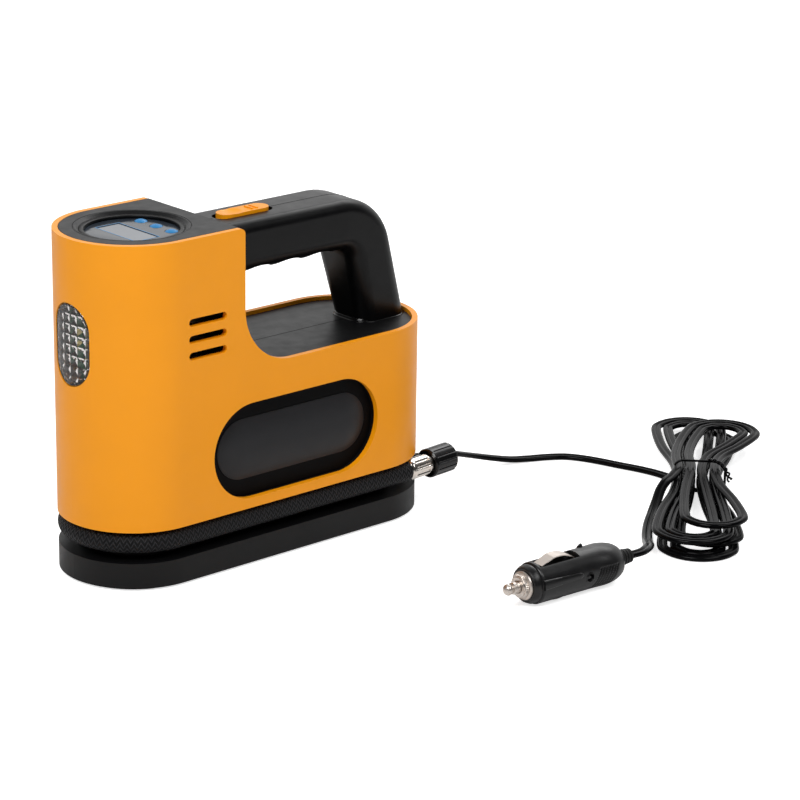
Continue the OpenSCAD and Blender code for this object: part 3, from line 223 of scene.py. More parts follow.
class NodeBoard:
    """A node tree, with short ways to add, feed and join its nodes."""

    def __init__(self, tree: bpy.types.NodeTree) -> None:
        """Takes a node tree and empties it."""
        self.tree = tree
        tree.nodes.clear()

    def add(self, kind: str, **values: object) -> bpy.types.Node:
        """Adds a node.

        Args:
            kind: The node's type name.
            values: Properties, or inputs with an underscore for each space in their names.

        Returns:
            The new node.
        """
        node = self.tree.nodes.new(kind)
        for key, value in values.items():
            label = key.replace("_", " ")
            if hasattr(node, key):
                setattr(node, key, value)
            else:
                self.feed(node, label, value)
        return node

    def feed(self, node: bpy.types.Node, label: str | int, value: object) -> None:
        """Sets an input or links a socket to it.

        Args:
            node: The node.
            label: Name or number of its input.
            value: A plain value, or the socket to link.
        """
        if isinstance(value, bpy.types.NodeSocket):
            self.tree.links.new(value, node.inputs[label])
        else:
            node.inputs[label].default_value = value

    def math(self, operation: str, *values: object) -> bpy.types.NodeSocket:
        """Adds a math node.

        Args:
            operation: The operation's name.
            values: Its inputs, as numbers or sockets.

        Returns:
            The result's socket.
        """
        node = self.add("ShaderNodeMath", operation=operation)
        for i, value in enumerate(values):
            self.feed(node, i, value)
        return node.outputs[0]

    def noise(self, size: float, detail: float = 2.0) -> bpy.types.NodeSocket:
        """Adds noise in the object's own space, with features of a size in millimetres."""
        place = self.add("ShaderNodeTexCoord").outputs["Object"]
        return self.add("ShaderNodeTexNoise", Scale=1.0 / (size * MM), Detail=detail,
                        Roughness=0.5, Vector=place).outputs["Fac"]

    def spread(self, source: bpy.types.NodeSocket, low: float, high: float,
               start: float = 0.3, end: float = 0.7, **values: object) -> bpy.types.NodeSocket:
        """Maps a value's range from start to end on to the range from low to high."""
        return self.add("ShaderNodeMapRange", Value=source, From_Min=start, From_Max=end,
                        To_Min=low, To_Max=high, **values).outputs["Result"]

    def blend(self, share: bpy.types.NodeSocket, first: Sequence[float],
              second: Sequence[float]) -> bpy.types.NodeSocket:
        """Blends two colours.

        Args:
            share: Share of the second colour.
            first: The first colour.
            second: The second colour.

        Returns:
            The blended colour.
        """
        node = self.add("ShaderNodeMix", data_type="RGBA")
        for label, value in ((0, share), (6, (*first, 1.0)), (7, (*second, 1.0))):
            self.feed(node, label, value)
        return node.outputs[2]

    def bump(self, height: bpy.types.NodeSocket, depth: float,
             **below: bpy.types.NodeSocket) -> bpy.types.NodeSocket:
        """Adds a bump with a depth in millimetres, over another one's Normal if given."""
        return self.add("ShaderNodeBump", Strength=1.0, Distance=depth * MM, Height=height,
                        **below).outputs["Normal"]


class MaterialBoard(NodeBoard):
    """A material's node tree, with its surface shader in place."""

    def __init__(self, name: str) -> None:
        """Starts an empty material with a name."""
        self.material = bpy.data.materials.new(name)
        self.material.use_nodes = True
        super().__init__(self.material.node_tree)
        self.shader = self.add("ShaderNodeBsdfPrincipled")
        self.add("ShaderNodeOutputMaterial", Surface=self.shader.outputs["BSDF"])

    def surface(self, **values: object) -> None:
        """Feeds the shader's inputs, with an underscore for each space in their names."""
        for key, value in values.items():
            self.feed(self.shader, key.replace("_", " "), value)


def shade(colour: Sequence[float], factor: float) -> tuple[float, ...]:
    """Makes a colour lighter or darker by a factor."""
    return tuple(min(1.0, c * factor) for c in colour)


def srgb(red: int, green: int, blue: int) -> tuple[float, ...]:
    """Turns a display colour from 0 to 255 into linear scene values."""
    return tuple((c / 255 / 12.92) if c <= 10 else ((c / 255 + 0.055) / 1.055) ** 2.4
                 for c in (red, green, blue))


class Finish:
    """A procedural material that is built once and then found by its name."""

    name: str

    def dress(self, board: MaterialBoard) -> None:
        """Fills a new material's board."""
        raise NotImplementedError

    def material(self) -> bpy.types.Material:
        """Builds the material, or finds it where it is already built."""
        made = bpy.data.materials.get(self.name)
        if made is None:
            board = MaterialBoard(self.name)
            self.dress(board)
            made = board.material
        return made


@dataclass(frozen=True)
class MouldedPlastic(Finish):
    """Moulded plastic with a fine spark-eroded grain and slight cloudiness."""

    name: str
    colour: tuple[float, ...]
    roughness: float = 0.42
    grain: float = 0.35
    grain_depth: float = 0.02
    cloud: float = 0.05
    specular: float = 0.5
    coat: float = 0.0
    coat_roughness: float = 0.12
    cloud_size: float = 26.0
    wave_size: float = 14.0
    wave_depth: float = 0.03
    patch_size: float = 7.0
    patch: float = 0.04

    def dress(self, board: MaterialBoard) -> None:
        """Fills a new material's board."""
        cloud = board.spread(board.noise(self.cloud_size, 3.0), 0.0, 1.0)
        waves = board.bump(board.noise(self.wave_size, 1.0), self.wave_depth)
        board.surface(
            Base_Color=board.blend(cloud, shade(self.colour, 1 - self.cloud),
                                   shade(self.colour, 1 + self.cloud)),
            Roughness=board.spread(board.noise(self.patch_size, 4.0),
                                   self.roughness - self.patch, self.roughness + self.patch),
            Specular_IOR_Level=self.specular, Coat_Weight=self.coat,
            Coat_Roughness=self.coat_roughness,
            Normal=board.bump(board.noise(self.grain), self.grain_depth, Normal=waves))


@dataclass(frozen=True)
class Metal(Finish):
    """Plated, ground or cast metal."""

    name: str
    colour: tuple[float, ...]
    roughness: float = 0.12
    grain: float = 0.8
    grain_depth: float = 0.004
    stain: float = 0.06
    stain_size: float = 6.0
    patch_size: float = 3.0
    patch: tuple[float, float] = (0.8, 1.4)

    def dress(self, board: MaterialBoard) -> None:
        """Fills a new material's board."""
        cloud = board.spread(board.noise(self.stain_size, 4.0), 0.0, 1.0)
        board.surface(
            Base_Color=board.blend(cloud, shade(self.colour, 1 - self.stain), self.colour),
            Metallic=1.0,
            Roughness=board.spread(board.noise(self.patch_size, 5.0),
                                   *(self.roughness * share for share in self.patch)),
            Normal=board.bump(board.noise(self.grain, 3.0), self.grain_depth))


@dataclass(frozen=True)
class ClearPlastic(Finish):
    """Clear or tinted plastic that shows what is behind it."""

    name: str
    colour: tuple[float, ...]
    roughness: float = 0.05
    share: float = 0.9
    index: float = 1.49
    tint: float = 0.96
    tint_size: float = 9.0
    ripple_size: float = 3.0
    ripple_depth: float = 0.01

    def dress(self, board: MaterialBoard) -> None:
        """Fills a new material's board."""
        tint = board.spread(board.noise(self.tint_size), 0.0, 1.0)
        board.surface(
            Base_Color=board.blend(tint, shade(self.colour, self.tint), self.colour),
            Roughness=self.roughness, Transmission_Weight=self.share, IOR=self.index,
            Normal=board.bump(board.noise(self.ripple_size, 1.0), self.ripple_depth))


@dataclass(frozen=True)
class BraidedSleeve(Finish):
    """Woven nylon sleeve: two sets of strands that cross over and under each other.

    The mesh's UV map runs along the hose in u and round it in v, one unit for each strand.
    """

    name: str
    colour: tuple[float, ...]
    glint: tuple[float, ...]
    depth: float = 0.12
    crossing: float = 0.4
    fuzz: float = 0.7
    fuzz_size: float = 0.25
    glints: tuple[float, float] = (0.95, 1.4)
    roughness: tuple[float, float] = (0.45, 0.7)
    specular: float = 0.16
    sheen: float = 0.04

    def dress(self, board: MaterialBoard) -> None:
        """Fills a new material's board."""
        place = board.add("ShaderNodeTexCoord").outputs["UV"]
        split = board.add("ShaderNodeSeparateXYZ")
        board.feed(split, 0, place)
        u, v = split.outputs[0], split.outputs[1]
        over = board.math("COSINE", board.math("MULTIPLY", u, math.pi))
        side = board.spread(over, 0.0, 1.0, -self.crossing, self.crossing)
        strands = []
        for way, weight in (("ADD", side), ("SUBTRACT", board.math("SUBTRACT", 1.0, side))):
            turned = board.math("MULTIPLY", board.math(way, u, v), math.tau)
            strands.append(board.math("MULTIPLY", board.math("COSINE", turned), weight))
        fuzz = board.noise(self.fuzz_size, 3.0)
        mixed = board.math("ADD", board.math("ADD", *strands),
                           board.math("MULTIPLY", fuzz, self.fuzz))
        glints = board.spread(mixed, 0.0, 1.0, *self.glints)
        board.surface(Base_Color=board.blend(glints, self.colour, self.glint),
                      Roughness=board.spread(fuzz, *self.roughness),
                      Specular_IOR_Level=self.specular,
                      Sheen_Weight=self.sheen, Sheen_Roughness=0.4,
                      Normal=board.bump(mixed, self.depth))


ORANGE = MouldedPlastic("orange_abs", srgb(242, 153, 8), roughness=0.36, grain=0.5,
                        grain_depth=0.008, cloud=0.015, specular=0.3)
BLACK = MouldedPlastic("black_abs", srgb(10, 10, 11), roughness=0.42, grain=0.45,
                       grain_depth=0.016, specular=0.24)
GRIP = MouldedPlastic("grip_abs", srgb(5, 5, 6), roughness=0.32, grain=0.5,
                      grain_depth=0.008, specular=0.2)
# Painted light: the pillows' grey is lighter than the housing's black so that they look lit from
# above.
LIT_PILLOW = MouldedPlastic("pillow_painted_light", srgb(36, 36, 38), roughness=0.4, grain=0.45,
                        grain_depth=0.016, specular=0.2)
# Painted shade: a darker black for thin sheets on the recess floors, so that the recesses look
# shaded.
RECESS_SHADE = MouldedPlastic("painted_recess_shade", srgb(7, 7, 8), roughness=0.5, grain=0.45,
                            grain_depth=0.02, specular=0.06)
GLOSS_BLACK = MouldedPlastic("gloss_black", srgb(10, 10, 11), roughness=0.2, grain=0.9,
                             grain_depth=0.004, coat=0.1, specular=0.25)
PLUG_BLACK = MouldedPlastic("plug_pc", srgb(16, 16, 17), roughness=0.32, grain=0.5,
                            grain_depth=0.03, specular=0.38)
SHEATH = MouldedPlastic("lead_pvc", srgb(6, 6, 7), roughness=0.2, grain=1.2,
                        grain_depth=0.006, cloud=0.12, specular=0.07)
RUBBER = MouldedPlastic("moulded_rubber", srgb(22, 22, 22), roughness=0.55, grain=0.6,
                        grain_depth=0.03, specular=0.25)
BLUE = MouldedPlastic("blue_silicone", srgb(42, 122, 178), roughness=0.38, grain=1.0,
                      grain_depth=0.004, specular=0.25)
PANEL = MouldedPlastic("smoked_panel", srgb(52, 58, 66), roughness=0.14, grain=6.0,
                       grain_depth=0.003, cloud=0.1)
CRYSTAL = MouldedPlastic("crystal_plate", srgb(116, 120, 126), roughness=0.16, grain=5.0,
                         grain_depth=0.003, cloud=0.06)
OUTLINE_BLUE = MouldedPlastic("outline_blue", srgb(60, 128, 178), roughness=0.25, grain=0.8,
                              grain_depth=0.002)
SEAM = MouldedPlastic("parting_line", srgb(6, 6, 6), roughness=0.6, grain=0.5,
                      grain_depth=0.005, specular=0.1)
LAMP = MouldedPlastic("lamp_phosphor", srgb(240, 226, 140), roughness=0.3, grain=0.4,
                      grain_depth=0.01)
SMOKE = MouldedPlastic("smoked_tray", srgb(72, 38, 18), roughness=0.45, grain=1.2,
                       grain_depth=0.02, specular=0.1)
LAMP_MASK = MouldedPlastic("lamp_mask", srgb(38, 104, 66), roughness=0.45, grain=1.5,
                           specular=0.1)
SOLDER_MASK = MouldedPlastic("solder_mask", srgb(46, 120, 76), roughness=0.35, grain=1.5)
NYLON = MouldedPlastic("nylon", srgb(228, 222, 206), roughness=0.45)
NICKEL = Metal("nickel_plate", (0.66, 0.6, 0.55), roughness=0.36, grain_depth=0.001)
BRIGHT = Metal("drawn_sleeve", (0.7, 0.65, 0.6), roughness=0.14)
CHROME = Metal("chrome_plate", (0.86, 0.86, 0.87), roughness=0.08)
STEEL = Metal("zinc_steel", (0.62, 0.63, 0.64), roughness=0.3, grain=0.4, grain_depth=0.01)
BRASS = Metal("yellow_brass", (0.75, 0.56, 0.25), roughness=0.25)
CAST = Metal("die_cast_zinc", (0.66, 0.67, 0.68), roughness=0.45, grain=0.5, grain_depth=0.03)
LENS = ClearPlastic("lens_acrylic", (0.84, 0.8, 0.78), roughness=0.01, share=1.0,
                    ripple_depth=0.002)
RIM = ClearPlastic("rim_acrylic", (0.7, 0.7, 0.72), roughness=0.04, share=1.0,
                   ripple_depth=0.002)
FUSE = ClearPlastic("clear_fuse", (0.93, 0.95, 0.95))
BRAID = BraidedSleeve("woven_nylon", srgb(6, 6, 7), srgb(54, 54, 57))


def wear(piece: bpy.types.Object, finish: Finish) -> bpy.types.Object:
    """Gives a piece one finish all over.

    Args:
        piece: The object.
        finish: The finish.

    Returns:
        The same object.
    """
    made = finish.material()
    slots = piece.data.materials
    if len(slots) == 0:
        slots.append(made)
    for i in range(len(slots)):
        slots[i] = made
    return piece


def round_edges(piece: bpy.types.Object, width: float) -> None:
    """Rounds the sharp edges of a piece with modifiers.

    Args:
        piece: The object.
        width: Size of the rounding in millimetres.
    """
    weld = piece.modifiers.new("weld", "WELD")
    weld.merge_threshold = 2e-6
    bevel = piece.modifiers.new("rounding", "BEVEL")
    bevel.width = width * MM
    bevel.segments = 3
    bevel.limit_method = "ANGLE"
    bevel.angle_limit = math.radians(34.0)
    bevel.use_clamp_overlap = True
    bevel.harden_normals = False
    bevel.miter_outer = "MITER_ARC"
    normals = piece.modifiers.new("normals", "WEIGHTED_NORMAL")
    normals.keep_sharp = False
    normals.weight = 80
    for face in piece.data.polygons:
        face.use_smooth = True


def sharpen(piece: bpy.types.Object, angle: float) -> None:
    """Shades a mesh smooth but for its edges above an angle in degrees."""
    piece.data.set_sharp_from_angle(angle=math.radians(angle))


def skinned(name: str, finish: Finish, *groups: Rings, closed: bool = False,
            smooth: bool = True, sharp: float = 0.0) -> bpy.types.Object:
    """Makes a piece in its finish from groups of rings.

    Args:
        name: Name of the new piece.
        finish: Its finish.
        groups: Groups of rings, each skinned by itself.
        closed: Whether each group's last ring joins its first one.
        smooth: Whether the faces are shaded smooth.
        sharp: Angle in degrees above which edges stay sharp, or 0 for none.

    Returns:
        The new object, linked to the scene.
    """
    mesh = bmesh.new()
    for rings in groups:
        skin_rings(mesh, rings, closed)
    piece = wear(mesh_object(name, mesh, smooth), finish)
    if sharp:
        sharpen(piece, sharp)
    return piece


def bake_modifiers(piece: bpy.types.Object) -> None:
    """Puts the result of a piece's modifiers in its mesh and removes them."""
    depsgraph = bpy.context.evaluated_depsgraph_get()
    data = bpy.data.meshes.new_from_object(piece.evaluated_get(depsgraph))
    piece.modifiers.clear()
    piece.data = data


def settle(piece: bpy.types.Object, slot: str, *nodes: str,
           body: Body = Body.UNIT) -> bpy.types.Object:
    """Puts a new piece on its body and in place of CAD nodes.

    Args:
        piece: The object, already in place.
        slot: The record's material slot; it is not used.
        nodes: CAD nodes that it stands for.
        body: The body it moves with.

    Returns:
        The same object.
    """
    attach(piece, body.value)
    if nodes:
        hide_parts(*nodes)
    log.info("%s rides on %s", piece.name, body.value)
    return piece


# ---- camera and studio


@dataclass
class Studio:
    """Camera, floor and soft lights. Distances are in millimetres and angles in degrees."""

    azimuth: float = -41.939
    elevation: float = 18.357
    roll: float = 0.803
    target: Point = (108.8, 0.0, 49.15)
    distance: float = 1690.9
    lens: float = 142.46
    sensor: float = 36.0
    floor_size: float = 6000.0
    floor_colour: tuple[float, ...] = (0.8, 0.8, 0.8)
    floor_lift: float = 0.7
    front_light: float = 0.06
    back_light: float = 1.0
    back_rise: float = 0.15
    back_edge: tuple[float, float] = (0.1, 0.8)
    lamps: tuple[tuple[str, Point, tuple[float, float], float], ...] = (
        ("key", (-1000, -420, 1250), (700, 700), 17.0),
        ("fill", (300, -1100, 1300), (900, 600), 10.5),
        ("rim", (1000, 350, 1000), (800, 500), 4.0))
    aim: Point = (0.0, 0.0, 80.0)

    def camera(self) -> None:
        """Makes the camera and puts it in use."""
        a, e, r = (math.radians(v) for v in (self.azimuth, self.elevation, self.roll))
        back = Vector((math.sin(a) * math.cos(e), -math.cos(a) * math.cos(e), math.sin(e)))
        level = (-back).cross(UP).normalized()
        rise = level.cross(-back)
        right = level * math.cos(r) + rise * math.sin(r)
        up = rise * math.cos(r) - level * math.sin(r)
        data = bpy.data.cameras.new("view")
        data.lens = self.lens
        data.sensor_width = self.sensor
        data.clip_end = 100.0
        camera = bpy.data.objects.new("view", data)
        place = Matrix((right, up, back)).transposed().to_4x4()
        place.translation = (Vector(self.target) + back * self.distance) * MM
        camera.matrix_world = place
        bpy.context.scene.collection.objects.link(camera)
        bpy.context.scene.camera = camera

    def floor(self) -> None:
        """Makes the pale floor, which camera rays see lifted to white around the shadow."""
        mesh = bmesh.new()
        half = self.floor_size * MM / 2
        mesh.faces.new([mesh.verts.new((x, y, 0)) for x, y in
                        ((-half, -half), (half, -half), (half, half), (-half, half))])
        floor = mesh_object("floor", mesh, smooth=False)
        board = MaterialBoard("pale_floor")
        seen = board.add("ShaderNodeLightPath").outputs["Is Camera Ray"]
        board.surface(Base_Color=(*self.floor_colour, 1.0), Roughness=0.9,
                      Specular_IOR_Level=0.0, Emission_Color=WHITE,
                      Emission_Strength=board.math("MULTIPLY", seen, self.floor_lift))
        floor.data.materials.append(board.material)

    def world(self) -> None:
        """Lights the scene mostly from behind, and shows white behind the object."""
        world = bpy.data.worlds.new("studio")
        bpy.context.scene.world = world
        world.use_nodes = True
        board = NodeBoard(world.node_tree)
        a = math.radians(self.azimuth)
        facing = board.add("ShaderNodeVectorMath", operation="DOT_PRODUCT")
        board.feed(facing, 0, board.add("ShaderNodeTexCoord").outputs["Generated"])
        board.feed(facing, 1, (-math.sin(a), math.cos(a), self.back_rise))
        level = board.spread(facing.outputs["Value"], self.front_light, self.back_light,
                             *self.back_edge, interpolation_type="SMOOTHSTEP")
        mix = board.add("ShaderNodeMixShader")
        board.feed(mix, 0, board.add("ShaderNodeLightPath").outputs["Is Camera Ray"])
        for i, strength in ((1, level), (2, 1.0)):
            light = board.add("ShaderNodeBackground", Color=WHITE, Strength=strength)
            board.feed(mix, i, light.outputs[0])
        board.add("ShaderNodeOutputWorld", Surface=mix.outputs[0])

    def lamp(self, name: str, place: Point, size: tuple[float, float], power: float) -> None:
        """Makes one soft area lamp that faces the object.

        Args:
            name: The lamp's name.
            place: Where it hangs.
            size: Its width and height.
            power: Its power in watts.
        """
        data = bpy.data.lights.new(name, "AREA")
        data.shape = "RECTANGLE"
        data.size, data.size_y = size[0] * MM, size[1] * MM
        data.energy = power
        lamp = bpy.data.objects.new(name, data)
        start = Vector(place) * MM
        facing = (Vector(self.aim) * MM - start).to_track_quat("-Z", "Y")
        lamp.matrix_world = Matrix.Translation(start) @ facing.to_matrix().to_4x4()
        bpy.context.scene.collection.objects.link(lamp)

    def build(self) -> None:
        """Makes the camera, the floor, the world and the lamps."""
        self.camera()
        self.floor()
        self.world()
        for values in self.lamps:
            self.lamp(*values)


# ---- lead


def ease(share: float) -> float:
    """Smooth rise from 0 to 1 over a share from 0 to 1."""
    held = min(1.0, max(0.0, share))
    return held * held * (3 - 2 * held)


def in_hank(u: float, v: float, z: float, fan: float = 0.0) -> Point:
    """Point at a place along and across the hank, in millimetres.

    Args:
        u: Distance along the hank from its waist.
        v: Distance across it.
        z: Height above the ground.
        fan: Angle in degrees by which the place is fanned out.

    Returns:
        The point in millimetres.
    """
    angle = math.radians(HANK_TURN + fan)
    c, s = math.cos(angle), math.sin(angle)
    return (HANK_CENTRE[0] + u * c - v * s, HANK_CENTRE[1] + u * s + v * c, z)


@dataclass
class Lead:
    """The flat twin lead, from its strain relief through the tied hank to the plug.

    Each turn of the hank has a lobe behind the waist and one ahead of it, and pairs of values
    are for behind and ahead. Values for the four layers go from the bottom up.
    """

    width: float = 5.6
    thickness: float = 2.8
    groove_angle: float = 152.0
    wire_steps: int = 16
    exit_point: Point = (113.0, -15.0, 19.5)
    loops: int = 6
    loop_rings: int = 24
    reaches: tuple[Layers, Layers] = ((86.0, 78.0, 82.0, 70.0), (80.0, 86.0, 76.0, 64.0))
    fans: tuple[Layers, Layers] = ((0.0, 3.0, -2.0, 5.0), (-2.0, 3.0, -7.0, -12.0))
    fan_start: float = 8.0
    fan_end: float = 60.0
    lobe: float = 20.0
    waist: float = 11.5
    step: float = 6.8
    sweep_turns: float = 3.0
    layer_turns: float = 1.5
    rise: float = 6.25
    steep_rise: float = 8.4
    steep_reach: float = 0.05
    layer: float = 3.6
    ground_gap: float = 0.1
    lift: float = 1.2
    lift_end: float = 40.0
    smoothing: int = 6

    def first_run(self) -> list[Point]:
        """Route from the strain relief to the hank."""
        return [self.exit_point, (120, -15, 19.4), (128, -14.3, 18.4), (137, -12.8, 16.1),
                (147, -10.5, 12.6), (158, -9, 8.8), (170, -9.8, 5.2), (181, -12, 2.6),
                (191, -15.2, 1.7), (201, -19.5, 1.5), (209.5, -25.5, 1.5), (215, -34, 1.5),
                (219, -44, 1.5), (222.5, -55, 1.5), (226, -65, 1.5), (228.4, -75, 1.5),
                (228.9, -83, 1.6), (227.8, -90.5, 2), (224.9, -96, 2.4)]

    def last_run(self) -> list[Point]:
        """Route from the hank to the plug."""
        return [(214.1, -104.8, 13.4), (206.6, -108.5, 13.2), (200.2, -110.5, 12.6),
                (194, -112.7, 10), (186.9, -116.8, 6.4), (178.2, -122.2, 3.2),
                (168.3, -129.2, 1.7), (157.7, -138.4, 1.6), (149.2, -146.8, 2.4),
                (141.5, -154.6, 5), (133.8, -162.5, 8), (126.5, -168, 9.8),
                (119.4, -171, 10.5), (111.7, -170.6, 10.6)]

    def inset(self, turn: float) -> float:
        """How far in millimetres a turn, with its share done, lies inside the widest one."""
        half = self.sweep_turns / 2
        return self.step * (half - abs(turn % self.sweep_turns - half))

    def layer_of(self, turn: float) -> float:
        """Layer on which the hank lies at a turn.

        Args:
            turn: Number of the turn, with its share done.

        Returns:
            The layer, from 0 at the bottom to 3 at the top.
        """
        top = round(self.loops / self.layer_turns) - 1
        k = math.floor(turn / self.layer_turns + 0.5)
        d = turn - self.layer_turns * k
        if not 0 < k <= top:
            return 0.0 if k == 0 else float(top)
        rise = self.steep_rise if abs(d) < self.steep_reach else self.rise
        return k - 1 + min(1.0, max(0.0, 0.5 + d * rise))

    @staticmethod
    def of_layer(pair: tuple[Layers, Layers], side: float, layer: float) -> float:
        """Value that holds on a layer, or between two of them.

        Args:
            pair: Values behind the waist and ahead of it.
            side: Below zero for a place behind the waist.
            layer: The layer.

        Returns:
            The value there.
        """
        values = pair[0] if side < 0 else pair[1]
        low = min(math.floor(layer), len(values) - 2)
        return values[low] + (values[low + 1] - values[low]) * (layer - low)

    def hank_point(self, i: int) -> Point:
        """One point of the hank's route, whose turns have two lobes and straight runs between.

        Args:
            i: Number of the point.

        Returns:
            The point in millimetres.
        """
        turn, k = i / self.loop_rings, i % self.loop_rings
        inset, layer = self.inset(turn), self.layer_of(turn)
        run = self.loop_rings // 8
        if run < k < 3 * run or 5 * run < k < 7 * run:
            end, turned = (-1, 1 - (k - run) / run) if k < 4 * run else (1, (k - 5 * run) / run - 1)
            radius, angle = self.lobe - inset, math.pi / 2 * turned
            u = end * (self.of_layer(self.reaches, end, layer) + radius * math.cos(angle))
            v = radius * math.sin(angle)
        else:
            share, side = ((-k / run, 1) if k <= run else ((k - 4 * run) / run, -1)
                           if k <= 5 * run else ((8 * run - k) / run, 1))
            u = share * self.of_layer(self.reaches, share, layer)
            v = side * (self.waist + (self.lobe - self.waist) * ease(abs(share)) - inset)
        lift = self.lift * (1 - ease(abs(u) / self.lift_end))
        fanned = ease((abs(u) - self.fan_start) / (self.fan_end - self.fan_start))
        z = self.thickness / 2 + self.ground_gap + self.layer * layer + lift
        return in_hank(u, v, z, fanned * self.of_layer(self.fans, u, layer))

    def route(self) -> list[Vector]:
        """The whole smooth centreline, in metres."""
        hank = [self.hank_point(i) for i in range(self.loops * self.loop_rings + 1)]
        line = metres(self.first_run() + hank + self.last_run())
        return smooth_route(line, self.smoothing)

    def section(self) -> list[Vector]:
        """Section of the twin lead: two round wires with a groove between them."""
        r = self.thickness / 2 * MM
        offset = self.width / 2 * MM - r
        angles = [math.radians(self.groove_angle * (2 * i / self.wire_steps - 1))
                  for i in range(self.wire_steps + 1)]
        return [Vector((side * (offset + r * math.cos(a)), side * r * math.sin(a), 0))
                for side in (1, -1) for a in angles]

    def build(self, pieces: Sequence[bpy.types.Object]) -> None:
        route = self.route()
        lead = skinned("lead", SHEATH, sweep(route, self.section()))
        settle(lead, "lead_sheath", "cord_lead", "cord_hank", "cord_tail")


@dataclass
class TwistTie:
    """The wire tie round the hank's waist, with its twisted end."""

    wire: float = 1.3
    wide: float = 27.6
    high: float = 16.6
    corner: float = 5.0
    middle: float = 8.9
    corner_steps: int = 12
    strand: float = 0.55
    twists: float = 3.25
    twist_radius: float = 0.68
    splay: float = 2.2
    splay_start: float = 0.72

    def band(self, u: float, lean: float) -> Rings:
        """One turn of the wire round the waist.

        Args:
            u: Its place along the hank.
            lean: How far its top leans along the hank.

        Returns:
            The rings of the closed turn.
        """
        path = []
        half_w, half_h = self.wide / 2 - self.corner, self.high / 2 - self.corner
        for quarter, (sv, sz) in enumerate(((1, 1), (-1, 1), (-1, -1), (1, -1))):
            for i in range(self.corner_steps + 1):
                a = math.pi / 2 * (quarter + i / self.corner_steps)
                v = sv * half_w + self.corner * math.cos(a)
                z = sz * half_h + self.corner * math.sin(a)
                path.append(Vector(in_hank(u + lean * z / self.high, v, self.middle + z)) * MM)
        centre = Vector(in_hank(0, 0, self.middle)) * MM
        section = round_section(self.wire / 2, 12)
        rings = []
        for i, point in enumerate(path):
            ahead = (path[(i + 1) % len(path)] - path[i - 1]).normalized()
            side = ahead.cross((point - centre).normalized()).normalized()
            rise = side.cross(ahead)
            rings.append([point + side * q.x + rise * q.y for q in section])
        return rings

    def strands(self) -> list[Rings]:
        """The two strands of the twisted end, which splay at their tips."""
        corners = ((-0.5, -4.5, 18.0), (-2.5, -8.5, 18.4), (-6.0, -12.0, 17.4),
                   (-10.0, -14.6, 14.8), (-13.5, -16.2, 11.6))
        spine = smooth_route(metres(in_hank(*p) for p in corners), 14)
        groups = []
        for start in (0.0, math.pi):
            path = []
            for i, point in enumerate(spine):
                share = i / (len(spine) - 1)
                ahead = heading(spine, i)
                side = UP.cross(ahead).normalized()
                turn = start + share * self.twists * math.tau
                r = (self.twist_radius + self.splay * max(0.0, share - self.splay_start)) * MM
                path.append(point + side * r * math.cos(turn)
                            + ahead.cross(side) * r * math.sin(turn))
            groups.append(sweep(path, round_section(self.strand, 10)))
        return groups

    def build(self) -> bpy.types.Object:
        """Makes the two turns and the twisted end."""
        mesh = bmesh.new()
        for u, lean in ((-0.9, 2.0), (0.9, -1.5)):
            skin_rings(mesh, self.band(u, lean), closed=True)
        for rings in self.strands():
            skin_rings(mesh, rings)
        piece = wear(mesh_object("hank_wire_tie", mesh), SHEATH)
        return settle(piece, "twist_tie", "cord_tie")


# ---- hose


